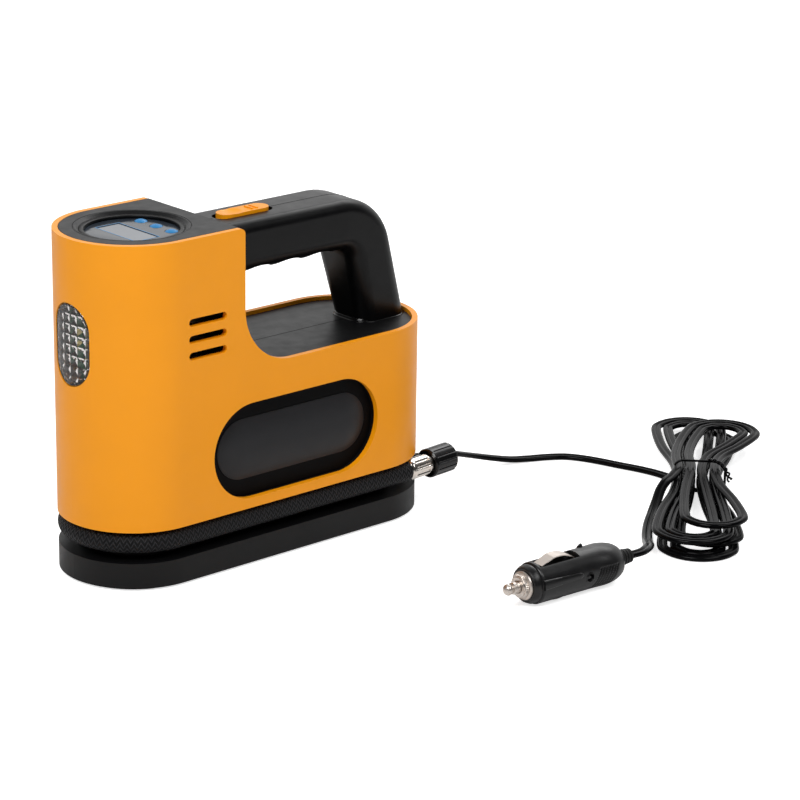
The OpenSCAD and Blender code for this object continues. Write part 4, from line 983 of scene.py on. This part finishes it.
@dataclass
class AirHose:
    """The braided hose round the base."""

    diameter: float = 11.0
    height: float = 24.0
    side: float = 33.5
    turn_x: float = -68.0
    start_x: float = 63.0
    end_x: float = 84.0
    step: float = 0.62
    strand: float = 1.5
    around: int = 24
    points: int = 96
    relief: float = 0.22
    crossing: float = 2.2

    def route(self) -> list[Vector]:
        """Centreline from the elbow round the front to the sleeve, in metres."""
        far = math.ceil((self.start_x - self.turn_x) / self.step)
        bend = int(math.pi * self.side / self.step)
        near = round((self.end_x - self.turn_x) / self.step)
        line = [(self.start_x - i * self.step, self.side) for i in range(far)]
        line += [(self.turn_x + self.side * math.cos(a), self.side * math.sin(a))
                 for a in (math.pi / 2 + math.pi * i / bend for i in range(bend + 1))]
        line += [(self.turn_x + i * self.step, -self.side) for i in range(1, near)]
        return metres((x, y, self.height) for x, y in [*line, (self.end_x, -self.side)])

    def weave(self, along: float, around: float) -> float:
        """Depth of the braid below its crowns.

        Args:
            along: Distance along the hose, one for each strand.
            around: Share of the way round the hose.

        Returns:
            The depth, from 0 on a crown to 1 between strands.
        """
        v = around * self.around / 2
        over = 0.5 + 0.5 * math.tanh(self.crossing * math.cos(math.pi * along))
        first = 0.5 + 0.5 * math.cos(math.tau * (along + v))
        second = 0.5 + 0.5 * math.cos(math.tau * (along - v))
        return 1 - (first * over + second * (1 - over))

    def ring(self, point: Vector, ahead: Vector, along: float) -> list[Vector]:
        """One ring of the hose with the relief of its braid.

        Args:
            point: Its middle.
            ahead: The hose's direction there.
            along: Distance along the hose, one for each strand.

        Returns:
            The ring's points.
        """
        level = UP.cross(ahead)
        ring = []
        for j, a in enumerate(turns(self.points)):
            r = (self.diameter / 2 - self.relief * self.weave(along, j / self.points)) * MM
            ring.append(point + level * (r * math.cos(a)) + UP * (r * math.sin(a)))
        return ring

    def unwrap(self, data: bpy.types.Mesh, run: Sequence[float]) -> None:
        """Writes the UV map, one unit for each strand along the hose and round it.

        Args:
            data: The hose's mesh.
            run: Distance along the hose of each ring, one for each strand.
        """
        layer = data.uv_layers.new(name="weave").data
        for face in data.polygons:
            places = [divmod(data.loops[i].vertex_index, self.points) for i in face.loop_indices]
            around = [j for _, j in places]
            wraps = max(around) - min(around) > self.points / 2
            for i, (ring, j) in zip(face.loop_indices, places):
                if wraps and j < self.points / 2:
                    j += self.points
                layer[i].uv = (run[ring], j / self.points * self.around / 2)

    def build(self) -> None:
        """Makes the hose with the UV map that its weave needs."""
        route = self.route()
        lengths = ((b - a).length for a, b in zip(route, route[1:]))
        run = [d / (self.strand * MM) for d in accumulate(lengths, initial=0.0)]
        rings = [self.ring(p, heading(route, i), run[i]) for i, p in enumerate(route)]
        hose = skinned("braided_hose", BRAID, rings)
        self.unwrap(hose.data, run)
        settle(hose, "hose_braid", "air_hose")


# ---- lighter plug


@dataclass
class LighterPlug:
    """The lighter plug's body, nose ring, tip and side leaves.

    Stations are distances from the tip. The fields' angles are in degrees from the top, but
    the fin's half thickness is in radians.
    """

    tip_at: Point = (30.0, -165.4, 10.6)
    yaw: float = -3.6
    radius: float = 10.6
    front: float = 16.4
    rear: float = 71.9
    front_round: tuple[float, float] = (0.9, 1.1)
    swell: float = 0.9
    swell_at: float = 61.5
    swell_spread: float = 6.5
    rear_start: float = 57.0
    rear_start_sides: float = 63.0
    rear_round: float = 4.2
    slot_half: float = 4.6
    slot_floor: float = 5.4
    slot_least_cosine: float = 0.3
    slot_start: float = 19.0
    slot_end: float = 43.8
    hex_at: float = 46.5
    hex_angle: float = 94.0
    hex_steps: tuple[tuple[float, float], ...] = ((1.15, 0.8), (1.9, 2.6), (2.35, -0.25))
    seam_half: float = 0.3
    seam_depth: float = 0.22
    rib_angle: float = 79.0
    rib_start: float = 16.7
    rib_end: float = 42.0
    rib_steps: int = 44
    rib_nose: float = 2.6
    rib_half: tuple[float, float] = (2.5, 1.3)
    rib_tall: tuple[float, float] = (0.35, 1.1)
    rib_least: float = 0.12
    rib_bunching: float = 1.6
    rib_sink: float = 0.1
    fin_angle: float = -24.0
    fin_half: float = 0.05
    grip_angle: float = 103.0
    grip_start: float = 51.0
    grip_pitch: float = 1.75
    grip_count: int = 7
    grip_half: float = 5.6
    grip_slant: float = 0.38
    grip_edge: float = 0.7
    grip_land: float = 0.25
    grip_slope: float = 0.6
    grip_depth: float = 0.75
    knurl_span: tuple[float, float] = (8.95, 10.95)
    knurl_teeth: int = 36
    knurl_depth: float = 0.28
    leaf_half: float = 3.2
    leaf_chord: float = 21.0
    leaf_height: float = 3.2
    leaf_middle: float = 31.5
    leaf_thick: float = 0.55
    leaf_rows: int = 60
    leaf_flat_rows: int = 22
    leaf_columns: int = 4
    around: int = 176
    step: float = 0.38

    def place(self) -> Matrix:
        """Matrix of the plug's axis, with local X up and local Y to its near side."""
        return axis_place(self.tip_at, self.yaw)

    def outline(self, s: float, angle: float) -> float:
        """Radius of the plain body at a station, before its small details.

        Args:
            s: The station.
            angle: Angle round the axis from the top in radians.

        Returns:
            The radius in millimetres.
        """
        depth, length = self.front_round
        sideways = math.sin(angle) ** 2
        r = self.radius - depth * max(0.0, 1 - (s - self.front) / length) ** 2
        r += self.swell * math.exp(-((s - self.swell_at) / self.swell_spread) ** 2) * sideways
        start = self.rear_start + (self.rear_start_sides - self.rear_start) * sideways
        if s > start:
            share = (s - start) / (self.rear - start)
            r -= self.rear_round * (1 - math.sqrt(max(0.0, 1 - share * share)))
        return r

    def grip(self, s: float, across: float) -> float:
        """Depth of the slanted thumb grooves at a point.

        Args:
            s: The station.
            across: Distance round the body from the grooves' middle line in millimetres.

        Returns:
            The depth in millimetres.
        """
        along = s + self.grip_slant * across - self.grip_start
        inside = self.grip_half - abs(across)
        if not 0.0 < along < self.grip_pitch * self.grip_count or inside < 0:
            return 0.0
        wave = 0.5 - 0.5 * math.cos(math.tau * along / self.grip_pitch)
        return (self.grip_depth * min(1.0, inside / self.grip_edge)
                * ease((wave - self.grip_land) / self.grip_slope))

    def hexagon(self, s: float, across: float) -> float:
        """Depth of the hexagonal hole with its raised rim at a point.

        Args:
            s: The station.
            across: Distance round the body from the hole's middle in millimetres.

        Returns:
            The depth in millimetres, below zero on the rim.
        """
        x, y = (s - self.hex_at) / 2, across * math.sin(math.radians(60))
        size = max(abs(2 * x), abs(x + y), abs(x - y))
        return next((depth for reach, depth in self.hex_steps if size < reach), 0.0)

    def surface(self, s: float, angle: float) -> float:
        """Radius of the finished body at a point.

        Args:
            s: The station.
            angle: Angle round the axis from the top in radians, positive to the near side.

        Returns:
            The radius in millimetres.
        """
        side = abs(angle)
        r = (self.outline(s, angle)
             - self.grip(s, (side - math.radians(self.grip_angle)) * self.radius)
             - self.hexagon(s, (side - math.radians(self.hex_angle)) * self.radius))
        if min(side, math.pi - side) * self.radius < self.seam_half:
            r -= self.seam_depth
        if (self.slot_start < s < self.slot_end
                and abs(r * math.sin(angle)) < self.slot_half):
            r = min(r, self.slot_floor / max(abs(math.cos(angle)), self.slot_least_cosine))
        return r

    def body(self) -> bpy.types.Object:
        """Makes the body with its thumb grooves, holes and slots."""
        place = self.place()
        length = self.rear - self.front
        count = int(length / self.step)
        angles = [a - math.pi for a in turns(self.around, 0.5)]
        rings = [[polar(place, self.surface(s, a), a, s) for a in angles]
                 for s in (self.front + length * i / count for i in range(count + 1))]
        piece = skinned("plug_body", PLUG_BLACK, rings, sharp=38.0)
        return settle(piece, "plug_plastic", "plug_body_near", "plug_body_far")

    def rib(self, side: int) -> Rings:
        """Rings of the long raised rib on a side, 1 for the near one and -1 for the far one."""
        section = ((-1.15, -0.3), (-1.0, 0.3), (-0.86, 0.85), (-0.6, 1.0), (0.0, 1.04),
                   (0.6, 1.0), (0.86, 0.85), (1.0, 0.3), (1.15, -0.3))
        rings = []
        for i in range(self.rib_steps + 1):
            share = 1 - (1 - i / self.rib_steps) ** self.rib_bunching
            s = self.rib_start + (self.rib_end - self.rib_start) * share
            nose = max(0.0, 1 - (self.rib_end - s) / self.rib_nose)
            nose = math.sqrt(max(0.0, 1 - nose * nose))
            (wide, narrow), (low, high) = self.rib_half, self.rib_tall
            half = max(self.rib_least, (wide + (narrow - wide) * share) * nose)
            tall = low + (high - low) * nose
            rings.append([polar(self.place(), self.radius - self.rib_sink + tall * rise,
                                side * (math.radians(self.rib_angle) + half * q / self.radius), s)
                          for q, rise in section])
        return rings

    def ribs(self) -> bpy.types.Object:
        """Makes the long raised ribs on both sides and the small fin on the far top."""
        corners = ((9.8, 49.5), (11.2, 50.4), (12.3, 52.6), (12.1, 53.1), (9.8, 53.6))
        fin = [[polar(self.place(), r, math.radians(self.fin_angle) + turn, s)
                for r, s in corners] for turn in (-self.fin_half, self.fin_half)]
        piece = skinned("plug_side_ribs", PLUG_BLACK, self.rib(1), self.rib(-1), fin, sharp=50.0)
        return settle(piece, "plug_plastic")

    def collar(self) -> bpy.types.Object:
        """Makes the chamfered collar in front of the body."""
        profile = [(12.3, 4.6), (12.3, 8.5), (12.7, 8.9), (14.6, 9.8), (16.4, 9.75), (16.4, 4.6)]
        piece = skinned("plug_front_collar", PLUG_BLACK, lathe(profile, self.place(), 96),
                        closed=True)
        round_edges(piece, 0.25)
        return settle(piece, "plug_plastic", "plug_collar")

    def knurl(self, s: float, angle: float) -> float:
        """Depth of the nose ring's knurling at a station and an angle in radians."""
        depth = self.knurl_depth if self.knurl_span[0] < s < self.knurl_span[1] else 0.0
        return depth * (0.5 + 0.5 * math.cos(self.knurl_teeth * angle))

    def nose_ring(self) -> bpy.types.Object:
        """Makes the knurled ring with its stepped face and flange."""
        profile = [(9.7, 3.3), (8.3, 3.3), (8.3, 4.9), (8.45, 5.15), (8.9, 5.15), (8.9, 5.5),
                   (9.1, 5.85), (10.9, 6.05), (11.0, 6.3), (11.05, 6.9), (11.25, 7.2),
                   (11.9, 7.3), (12.28, 7.1), (12.3, 4.5), (16.4, 4.5), (16.4, 3.6),
                   (9.75, 3.6)]
        piece = skinned("plug_knurled_ring", NICKEL,
                        lathe(profile, self.place(), 144, self.knurl), closed=True, sharp=30.0)
        return settle(piece, "bright_chrome", "plug_nose_ring")

    def tip(self) -> bpy.types.Object:
        """Makes the sprung centre tip with its ball end, neck and shoulder."""
        length, radius = 2.3, 2.9
        profile = [(length * (1 - math.cos(a)), radius * math.sin(a))
                   for a in (math.radians(d) for d in range(3, 139, 9))]
        profile += [(4.2, 1.8), (4.6, 1.85), (4.7, 2.7), (5.0, 3.05), (9.9, 3.05),
                    (10.0, 3.4), (11.4, 3.4)]
        piece = skinned("plug_centre_tip", NICKEL, lathe(profile, self.place(), 48), sharp=40.0)
        return settle(piece, "bright_chrome", "plug_tip", body=Body.TIP)

    def spring(self) -> bpy.types.Object:
        """Makes the coil spring behind the tip."""
        place = self.place()
        start, end, coils, coil, wire = 11.75, 16.7, 4.5, 2.4, 0.28
        count = int(coils * 24)
        route = [polar(place, coil, math.tau * coils * i / count, start + (end - start) * i / count)
                 for i in range(count + 1)]
        axis = (place.to_3x3() @ UP).normalized()
        piece = skinned("plug_coil_spring", STEEL, sweep(route, round_section(wire, 10), up=axis))
        settle(piece, "screw_steel", "plug_tip_spring")
        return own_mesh(piece)

    def leaf(self, name: str, body: Body, node: str, rise: float, turn: float) -> bpy.types.Object:
        """Makes one sprung side leaf, flat at its front and arched behind.

        Args:
            name: The piece's name.
            body: The body it rides on.
            node: The CAD node that it stands for.
            rise: How far the leaf's crown stands out of the body in millimetres.
            turn: Turn of the leaf round the plug's axis from the top, in radians.

        Returns:
            The leaf.
        """
        place = self.place() @ Matrix.Rotation(turn, 4, "Z")
        half = self.leaf_chord / 2
        curve = (half ** 2 + self.leaf_height ** 2) / (2 * self.leaf_height)
        foot = self.radius + rise - curve
        across = [self.leaf_half * (2 * j / self.leaf_columns - 1)
                  for j in range(self.leaf_columns + 1)]

        def bow(row: int, depth: float) -> Vector:
            """Middle point of a row of the arch, at a depth below its upper face."""
            a = math.asin(half / curve) * (2 * row / self.leaf_rows - 1)
            return Vector((foot + (curve - depth) * math.cos(a), 0,
                           self.leaf_middle + (curve - depth) * math.sin(a)))

        rings = []
        for i in range(self.leaf_rows + 1):
            front = min(1.0, i / self.leaf_flat_rows)
            upper, lower = (bow(0, d).lerp(bow(self.leaf_flat_rows, d), front) if front < 1.0
                            else bow(i, d) for d in (0.0, self.leaf_thick))
            ring = [upper + Vector((0, y, 0)) for y in across]
            ring += [lower + Vector((0, y, 0)) for y in reversed(across)]
            rings.append([place @ (p * MM) for p in ring])
        return settle(skinned(name, NICKEL, rings, sharp=9.0), "bright_chrome", node, body=body)

    def build(self) -> list[bpy.types.Object]:
        """Makes the plug's pieces.

        Returns:
            The pieces that belong to the lead.
        """
        return [self.body(), self.ribs(), self.collar(), self.nose_ring(), self.tip(),
                self.spring(),
                self.leaf("plug_leaf_top", Body.UPPER_CONTACT, "plug_contact_upper", 1.6, 0.0),
                self.leaf("plug_leaf_under", Body.LOWER_CONTACT, "plug_contact_lower", 0.0,
                          math.pi)]


# ---- work light


@dataclass
class WorkLight:
    """The prism lens at the front, with its clear rim, and the lamps on the board behind."""

    axis_x: float = -68.0
    centre_z: float = 122.7
    width: float = 26.4
    height: float = 41.5
    outer: float = 38.7
    valley: float = 37.7
    crown: float = 36.1
    rim: float = 1.5
    rim_overlap: float = 0.55
    rim_steps: int = 40
    pitch: float = 5.2
    cell: int = 8
    board_front: float = -93.3
    lamp_size: float = 5.4
    lamp_z: float = 3.4
    lamp_square: float = 0.85

    def edge(self, y: float, z: float) -> float:
        """Signed distance to the lens's outline in millimetres, below zero inside."""
        half = self.width / 2
        return math.hypot(y, max(0.0, abs(z) - (self.height / 2 - half))) - half

    def on_round(self, y: float, z: float, radius: float) -> Vector:
        """Point on the front's round, in metres."""
        return Vector((self.axis_x - math.sqrt(radius * radius - y * y), y,
                       self.centre_z + z)) * MM

    def prism(self, y: float, z: float) -> float:
        """Radius of the field of inward pyramids at a point in millimetres."""
        off = max(abs(q / self.pitch - math.floor(q / self.pitch) - 0.5) for q in (y, z))
        return self.valley - (self.valley - self.crown) * (1 - 2 * off)

    def lens(self) -> None:
        """Makes the closed lens, smooth outside, with its field of square pyramids inside."""
        fine = self.pitch / self.cell
        rows = int(self.height / fine / 2) + 1
        columns = int(self.width / fine / 2) + 1
        mesh = bmesh.new()
        made: dict[tuple[int, int], tuple[bmesh.types.BMVert, bmesh.types.BMVert]] = {}

        def vertex(i: int, j: int) -> tuple[bmesh.types.BMVert, bmesh.types.BMVert]:
            """Front and rear vertices of a grid point."""
            if (i, j) not in made:
                y, z = i * fine, j * fine
                made[i, j] = (mesh.verts.new(self.on_round(y, z, self.outer)),
                              mesh.verts.new(self.on_round(y, z, self.prism(y, z))))
            return made[i, j]

        kept = {(i, j) for i in range(-columns, columns) for j in range(-rows, rows)
                if self.edge((i + 0.5) * fine, (j + 0.5) * fine) < -self.rim * self.rim_overlap}
        for i, j in kept:
            over, under = zip(*(vertex(*c) for c in
                                ((i, j), (i + 1, j), (i + 1, j + 1), (i, j + 1))))
            u, v = i % self.cell - self.cell / 2, j % self.cell - self.cell / 2
            rising = (u + 0.5) * (v + 0.5) > 0
            for a, b, c in ((0, 1, 2), (0, 2, 3)) if rising else ((0, 1, 3), (1, 2, 3)):
                mesh.faces.new((under[c], under[b], under[a]))
            mesh.faces.new(over)
            for (di, dj), (a, b) in (((0, -1), (0, 1)), ((1, 0), (1, 2)),
                                     ((0, 1), (2, 3)), ((-1, 0), (3, 0))):
                if (i + di, j + dj) not in kept:
                    mesh.faces.new((over[b], over[a], under[a], under[b]))
        piece = wear(mesh_object("prism_lens", mesh, smooth=False), LENS)
        settle(piece, "clear_lens", "light_lens")

    def ring(self) -> None:
        """Makes the smooth clear rim round the pyramid field."""
        half = self.width / 2
        inner = self.rim + 0.25
        section = ((0.1, 36.3), (0.1, 38.2), (0.4, 38.75), (1.0, 38.85), (1.5, 38.4),
                   (inner, 37.0), (inner, 36.3))
        rings = []
        for end in (1, -1):
            lift = end * (self.height / 2 - half)
            for i in range(self.rim_steps + 1):
                a = math.pi * i / self.rim_steps
                rings.append([self.on_round(end * math.cos(a) * (half - inset),
                                            end * math.sin(a) * (half - inset) + lift, radius)
                              for inset, radius in section])
        settle(skinned("lens_rim", RIM, rings, closed=True), "clear_lens")

    def lamp(self, z: float) -> Rings:
        """Rings of a square lamp with its dome, at a height from the lens's middle."""
        rings = []
        for x, size in ((0.0, 1.0), (-1.2, 1.0), (-1.5, 0.93), (-1.5, 0.72), (-2.0, 0.6),
                        (-2.2, 0.4)):
            ring = []
            for a in turns(32, 0.5):
                c, s = math.cos(a), math.sin(a)
                grow = self.lamp_size / 2 * size / max(abs(c), abs(s)) ** self.lamp_square
                ring.append((self.board_front + x, c * grow, self.centre_z + z + s * grow))
            rings.append(metres(ring))
        return rings

    def build(self) -> None:
        """Makes the lens, its rim and the two lamps."""
        self.lens()
        self.ring()
        lamps = skinned("square_lamps", LAMP, self.lamp(-self.lamp_z), self.lamp(self.lamp_z))
        round_edges(lamps, 0.1)
        settle(lamps, "lamp_board")


# ---- display


@dataclass
class Display:
    """The round smoked panel, its window and the raised beads round it."""

    centre_x: float = -68.0
    top: float = 173.0
    radius: float = 23.8
    thickness: float = 1.6
    window: tuple[float, float, float, float] = (-77.7, -64.0, -16.0, 16.0)
    glass_bottom: float = 170.4
    glass_gap: float = 0.12
    line_outside: float = 0.55
    line_inside: float = 0.13
    button_x: float = -53.2
    button_pitch: float = 12.3
    hole: float = 3.45
    cut: float = 4.0
    rim_z: float = 176.0
    bead: float = 28.35

    def rectangle(self, inset: float, z: float) -> list[Vector]:
        """Corners of the window at a level in millimetres, moved in by an inset."""
        x0, x1, y0, y1 = self.window
        a, b, c, d = x0 + inset, x1 - inset, y0 + inset, y1 - inset
        return metres([(a, c, z), (b, c, z), (b, d, z), (a, d, z)])

    def panel(self) -> None:
        """Makes the glossy panel, a disc with its window and button holes cut by a boolean."""
        t, r = self.thickness, self.radius
        profile = [(0, r), (t - 0.35, r), (t - 0.1, r - 0.12), (t, r - 0.4)]
        piece = skinned("smoked_panel", PANEL,
                        lathe(profile, at_height(self.centre_x, 0, self.top - t), 128))
        cutter = bmesh.new()
        skin_rings(cutter, [self.rectangle(0.0, self.top + z) for z in (-self.cut, self.cut)])
        for i in (-1, 0, 1):
            base = at_height(self.button_x, i * self.button_pitch, self.top - self.cut)
            skin_rings(cutter, lathe([(0, self.hole), (2 * self.cut, self.hole)], base, 40))
        tool = mesh_object("panel_cutter", cutter)
        cut = piece.modifiers.new("holes", "BOOLEAN")
        cut.operation = "DIFFERENCE"
        cut.object = tool
        cut.solver = "EXACT"
        bake_modifiers(piece)
        bpy.data.objects.remove(tool)
        sharpen(piece, 30.0)
        settle(piece, "display_panel", "display_panel")

    def outline(self) -> None:
        """Makes the thin blue outline of the window."""
        low, high = self.top - 0.3, self.top + 0.06
        rings = [self.rectangle(inset, z) for inset, z in
                 ((-self.line_outside, low), (-self.line_outside, high),
                  (-self.line_inside, high), (-self.line_inside, low))]
        piece = skinned("window_outline", OUTLINE_BLUE, rings, closed=True, smooth=False)
        settle(piece, "display_panel")

    def glass(self) -> None:
        """Makes the window's pale liquid-crystal plate."""
        gap = self.glass_gap
        rings = [self.rectangle(inset, z) for z, inset in
                 ((self.glass_bottom, gap), (self.top - 0.45, gap), (self.top - 0.25, gap + 0.3))]
        piece = skinned("display_glass", CRYSTAL, rings, smooth=False)
        settle(piece, "display_window", "display_window")

    def beads(self) -> None:
        """Makes the raised bead round the bowl and the dark step at its foot."""
        bead = [(self.rim_z - 0.3 + 0.28 * math.sin(b), self.bead + 0.45 * math.cos(b))
                for b in turns(10)]
        step = [(self.top + z, r) for z, r in
                ((0.02, 24.0), (0.05, 23.6), (1.45, 23.6), (1.6, 23.75), (1.7, 26.3), (1.2, 26.0))]
        place = at_height(self.centre_x, 0, 0)
        rounds = [lathe(section, place, 128) for section in (bead, step)]
        settle(skinned("bowl_bead", BLACK, *rounds, closed=True), "black_plastic")

    def build(self) -> None:
        """Makes the panel, the glass, its blue outline and the beads."""
        self.panel()
        self.glass()
        self.outline()
        self.beads()


# ---- handle


@dataclass
class HandleTrim:
    """Fine trim of the handle: the seams between its halves and the ring at the leg's foot."""

    top: float = 171.0
    bend: tuple[float, float] = (54.7, 136.0)
    bend_radius: float = 35.0
    bend_steps: int = 18
    lean: float = math.radians(18.4)
    deck: float = 102.3
    foot_depth: float = 32.0
    foot_taper: float = 0.985
    foot_width: float = 27.0
    foot_steps: int = 12
    seam: float = 0.2

    def on_bend(self, angle: float) -> tuple[float, float]:
        """X and Z of the bend's outside at an angle in radians from the top."""
        return (self.bend[0] + self.bend_radius * math.sin(angle),
                self.bend[1] + self.bend_radius * math.cos(angle))

    def leg_foot(self) -> tuple[float, float]:
        """X of the leg's outside and inside where it meets the deck."""
        x, z = self.on_bend(math.pi / 2 - self.lean)
        outside = x + (z - self.deck) * math.tan(self.lean)
        return outside, outside - self.foot_depth * self.foot_taper / math.cos(self.lean)

    def seams(self) -> None:
        """Makes the fine parting lines on the handle's top, the cap and the deck."""
        outside, inside = self.leg_foot()
        bend = [self.on_bend(i / self.bend_steps * (math.pi / 2 - self.lean))
                for i in range(self.bend_steps + 1)]
        lines = [[(-30.4, self.top), (-18.0, self.top)],
                 [(19.6, self.top), (36.0, self.top)] + bend + [(outside - 0.2, self.deck + 1.0)],
                 [(-29.0, self.deck), (inside - 1.0, self.deck)]]
        groups = []
        for line in lines:
            route = metres((x, 0.0, z - 0.1) for x, z in line)
            fine = [p.lerp(q, i / 4) for p, q in zip(route, route[1:]) for i in range(4)]
            groups.append(sweep([*fine, route[-1]], round_section(self.seam, 8),
                                up=Vector((0, 1, 0))))
        settle(skinned("parting_lines", SEAM, *groups), "handle_plastic")

    def foot_ring(self) -> None:
        """Makes the small flared fillet where the leg stands on the deck."""
        outside, _ = self.leg_foot()
        half, depth = self.foot_width / 2 + 0.05, self.foot_depth - 0.5
        edge: list[tuple[float, float, float, float]] = []
        for radius, middle, first in ((10.6, 10.6, 90.0), (9.0, depth - 9.0, 0.0)):
            for i in range(self.foot_steps + 1):
                t = math.radians(first - 90.0 * i / self.foot_steps)
                c, s = math.cos(t), math.sin(t)
                edge.append((half - radius + radius * c, middle - radius * s, c, -s))
        flare = ((-1.0, 0.0), (1.3, 0.0), (1.15, 0.25), (0.65, 0.45), (0.22, 0.9), (0.0, 1.8),
                 (-1.0, 1.8))
        rings = [metres((outside - (d + nd * out) / math.cos(self.lean)
                         - rise * math.tan(self.lean), y + ny * out, self.deck + rise)
                        for out, rise in flare)
                 for y, d, ny, nd in edge + [(-y, d, -ny, nd) for y, d, ny, nd in reversed(edge)]]
        settle(skinned("leg_foot_fillet", GLOSS_BLACK, rings, closed=True), "handle_plastic")

    def build(self) -> None:
        """Makes the seams and the foot ring."""
        self.seams()
        self.foot_ring()


# ---- side recesses


@dataclass
class SideRecesses:
    """Thin sheets of painted shade on the floors of the two side recesses, and the satin pillows on
    them, whose lighter grey is painted light.
    """

    centre: tuple[float, float] = (5.0, 60.8)
    length: float = 107.0
    height: float = 50.0
    floor: float = 34.0
    floor_top: float = 0.05
    floor_bottom: float = -0.4
    pillow_length: float = 96.0
    pillow_height: float = 31.5
    pillow_rings: int = 24
    bulge: float = 3.2
    edge: float = 0.35
    end_steps: int = 32

    def racetrack(self, length: float, height: float, radius: float, out: float) -> list[Vector]:
        """Points of an oval round the recess's middle.

        Args:
            length: Length of the oval whose ends' centres this one shares, in millimetres.
            height: Height of that oval in millimetres.
            radius: Radius of this one's ends in millimetres.
            out: Distance from the middle plane in millimetres, below zero on the near side.

        Returns:
            The points, in metres.
        """
        reach = (length - height) / 2
        x, z = self.centre
        angles = [math.pi * (i / self.end_steps - 0.5) for i in range(self.end_steps + 1)]
        return metres((x + end * (reach + radius * math.cos(a)), out,
                       z + end * radius * math.sin(a)) for end in (1, -1) for a in angles)

    def shade_sheets(self, side: int) -> Rings:
        """Rings of a side's thin sheet of painted shade on the floor round the pillow."""
        outer = (self.length, self.height, self.height / 2 - 0.05)
        inner = (self.pillow_length, self.pillow_height, self.pillow_height / 2 - 0.5)
        return [self.racetrack(*oval, side * (self.floor + rise)) for oval, rise in
                ((outer, self.floor_bottom), (outer, self.floor_top),
                 (inner, self.floor_top), (inner, self.floor_bottom))]

    def pillow(self, side: int) -> Rings:
        """Rings of a side's pillow, from its middle to the foot of its crisp raised edge."""
        half = self.pillow_height / 2
        curve = (half * half + self.bulge ** 2) / (2 * self.bulge)
        rings = []
        for i in range(self.pillow_rings + 2):
            d = half * min(1.0, 0.02 + i / self.pillow_rings)
            out = self.floor + self.bulge - curve + math.sqrt(curve * curve - d * d)
            rise = -1.0 if i > self.pillow_rings else self.edge
            rings.append(self.racetrack(self.pillow_length, self.pillow_height, d,
                                        side * (out + rise)))
        return rings

    def build(self) -> None:
        """Makes the sheets of painted shade on the recess floors, and the pillows in their lighter
        painted grey.
        """
        # Painted shade: darker sheets over the recess floors stand for the shade in the recesses.
        shade_sheets = skinned("recess_shade_sheets", RECESS_SHADE, self.shade_sheets(-1), self.shade_sheets(1),
                         closed=True, smooth=False)
        settle(shade_sheets, "black_plastic")
        # Painted light: the pillows are a lighter grey than the housing's black.
        pillows = skinned("side_pillows", LIT_PILLOW, self.pillow(-1), self.pillow(1), sharp=30.0)
        settle(pillows, "black_plastic")


# ---- CAD pieces


class KeptPieces:
    """CAD pieces that stay as they are, with rounded edges and a finish."""

    @staticmethod
    def finishes() -> dict[str, tuple[Finish, float]]:
        """The finish and the edge rounding in millimetres of each kept node."""
        return {
            "shell_near": (ORANGE, 0.5), "shell_far": (ORANGE, 0.5),
            "housing_near": (BLACK, 0.4), "housing_far": (BLACK, 0.4),
            "handle_near": (GRIP, 0.4), "handle_far": (GRIP, 0.4),
            "rubber_feet": (RUBBER, 0.3), "housing_screws": (STEEL, 0.15),
            "display_board": (SOLDER_MASK, 0.0), "button_left": (BLUE, 0.3),
            "button_centre": (BLUE, 0.3), "button_right": (BLUE, 0.3),
            "power_slider": (ORANGE, 0.4), "switch_body": (BLACK, 0.3),
            "light_tray": (SMOKE, 0.2),
            "light_board": (LAMP_MASK, 0.1), "motor_can": (STEEL, 0.4),
            "motor_shaft": (CHROME, 0.2), "motor_pinion": (BRASS, 0.0),
            "compressor_frame": (CAST, 0.5), "gear_bearing": (BRASS, 0.2),
            "drive_gear": (NYLON, 0.0), "gear_shaft": (CHROME, 0.2),
            "piston_rod": (CAST, 0.3), "piston_seal": (NYLON, 0.1),
            "pump_cylinder": (CAST, 0.2), "pump_head": (CAST, 0.4),
            "head_screws": (STEEL, 0.15), "delivery_tube": (NYLON, 0.0),
            "outlet_elbow": (BRASS, 0.2), "control_board": (SOLDER_MASK, 0.1),
            "hose_sleeve": (BRIGHT, 0.2), "valve_nut": (GLOSS_BLACK, 0.25),
            "valve_seal": (RUBBER, 0.1), "lead_grommet": (RUBBER, 0.2),
            "plug_fuse": (FUSE, 0.1),
            "plug_grommet": (RUBBER, 0.2)}

    def build(self) -> None:
        """Dresses each kept node."""
        for name, (finish, width) in self.finishes().items():
            piece = wear(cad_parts[name], finish)
            if width > 0:
                round_edges(piece, width)
            log.info("%s kept from the CAD", name)


def main() -> None:
    """Builds the studio and each sub-assembly in order."""
    bpy.context.scene.view_settings.view_transform = "Standard"
    Studio().build()
    plug = LighterPlug().build()
    Lead().build([*plug, TwistTie().build()])
    AirHose().build()
    WorkLight().build()
    Display().build()
    HandleTrim().build()
    SideRecesses().build()
    KeptPieces().build()


if __name__ == "__main__":
    main()
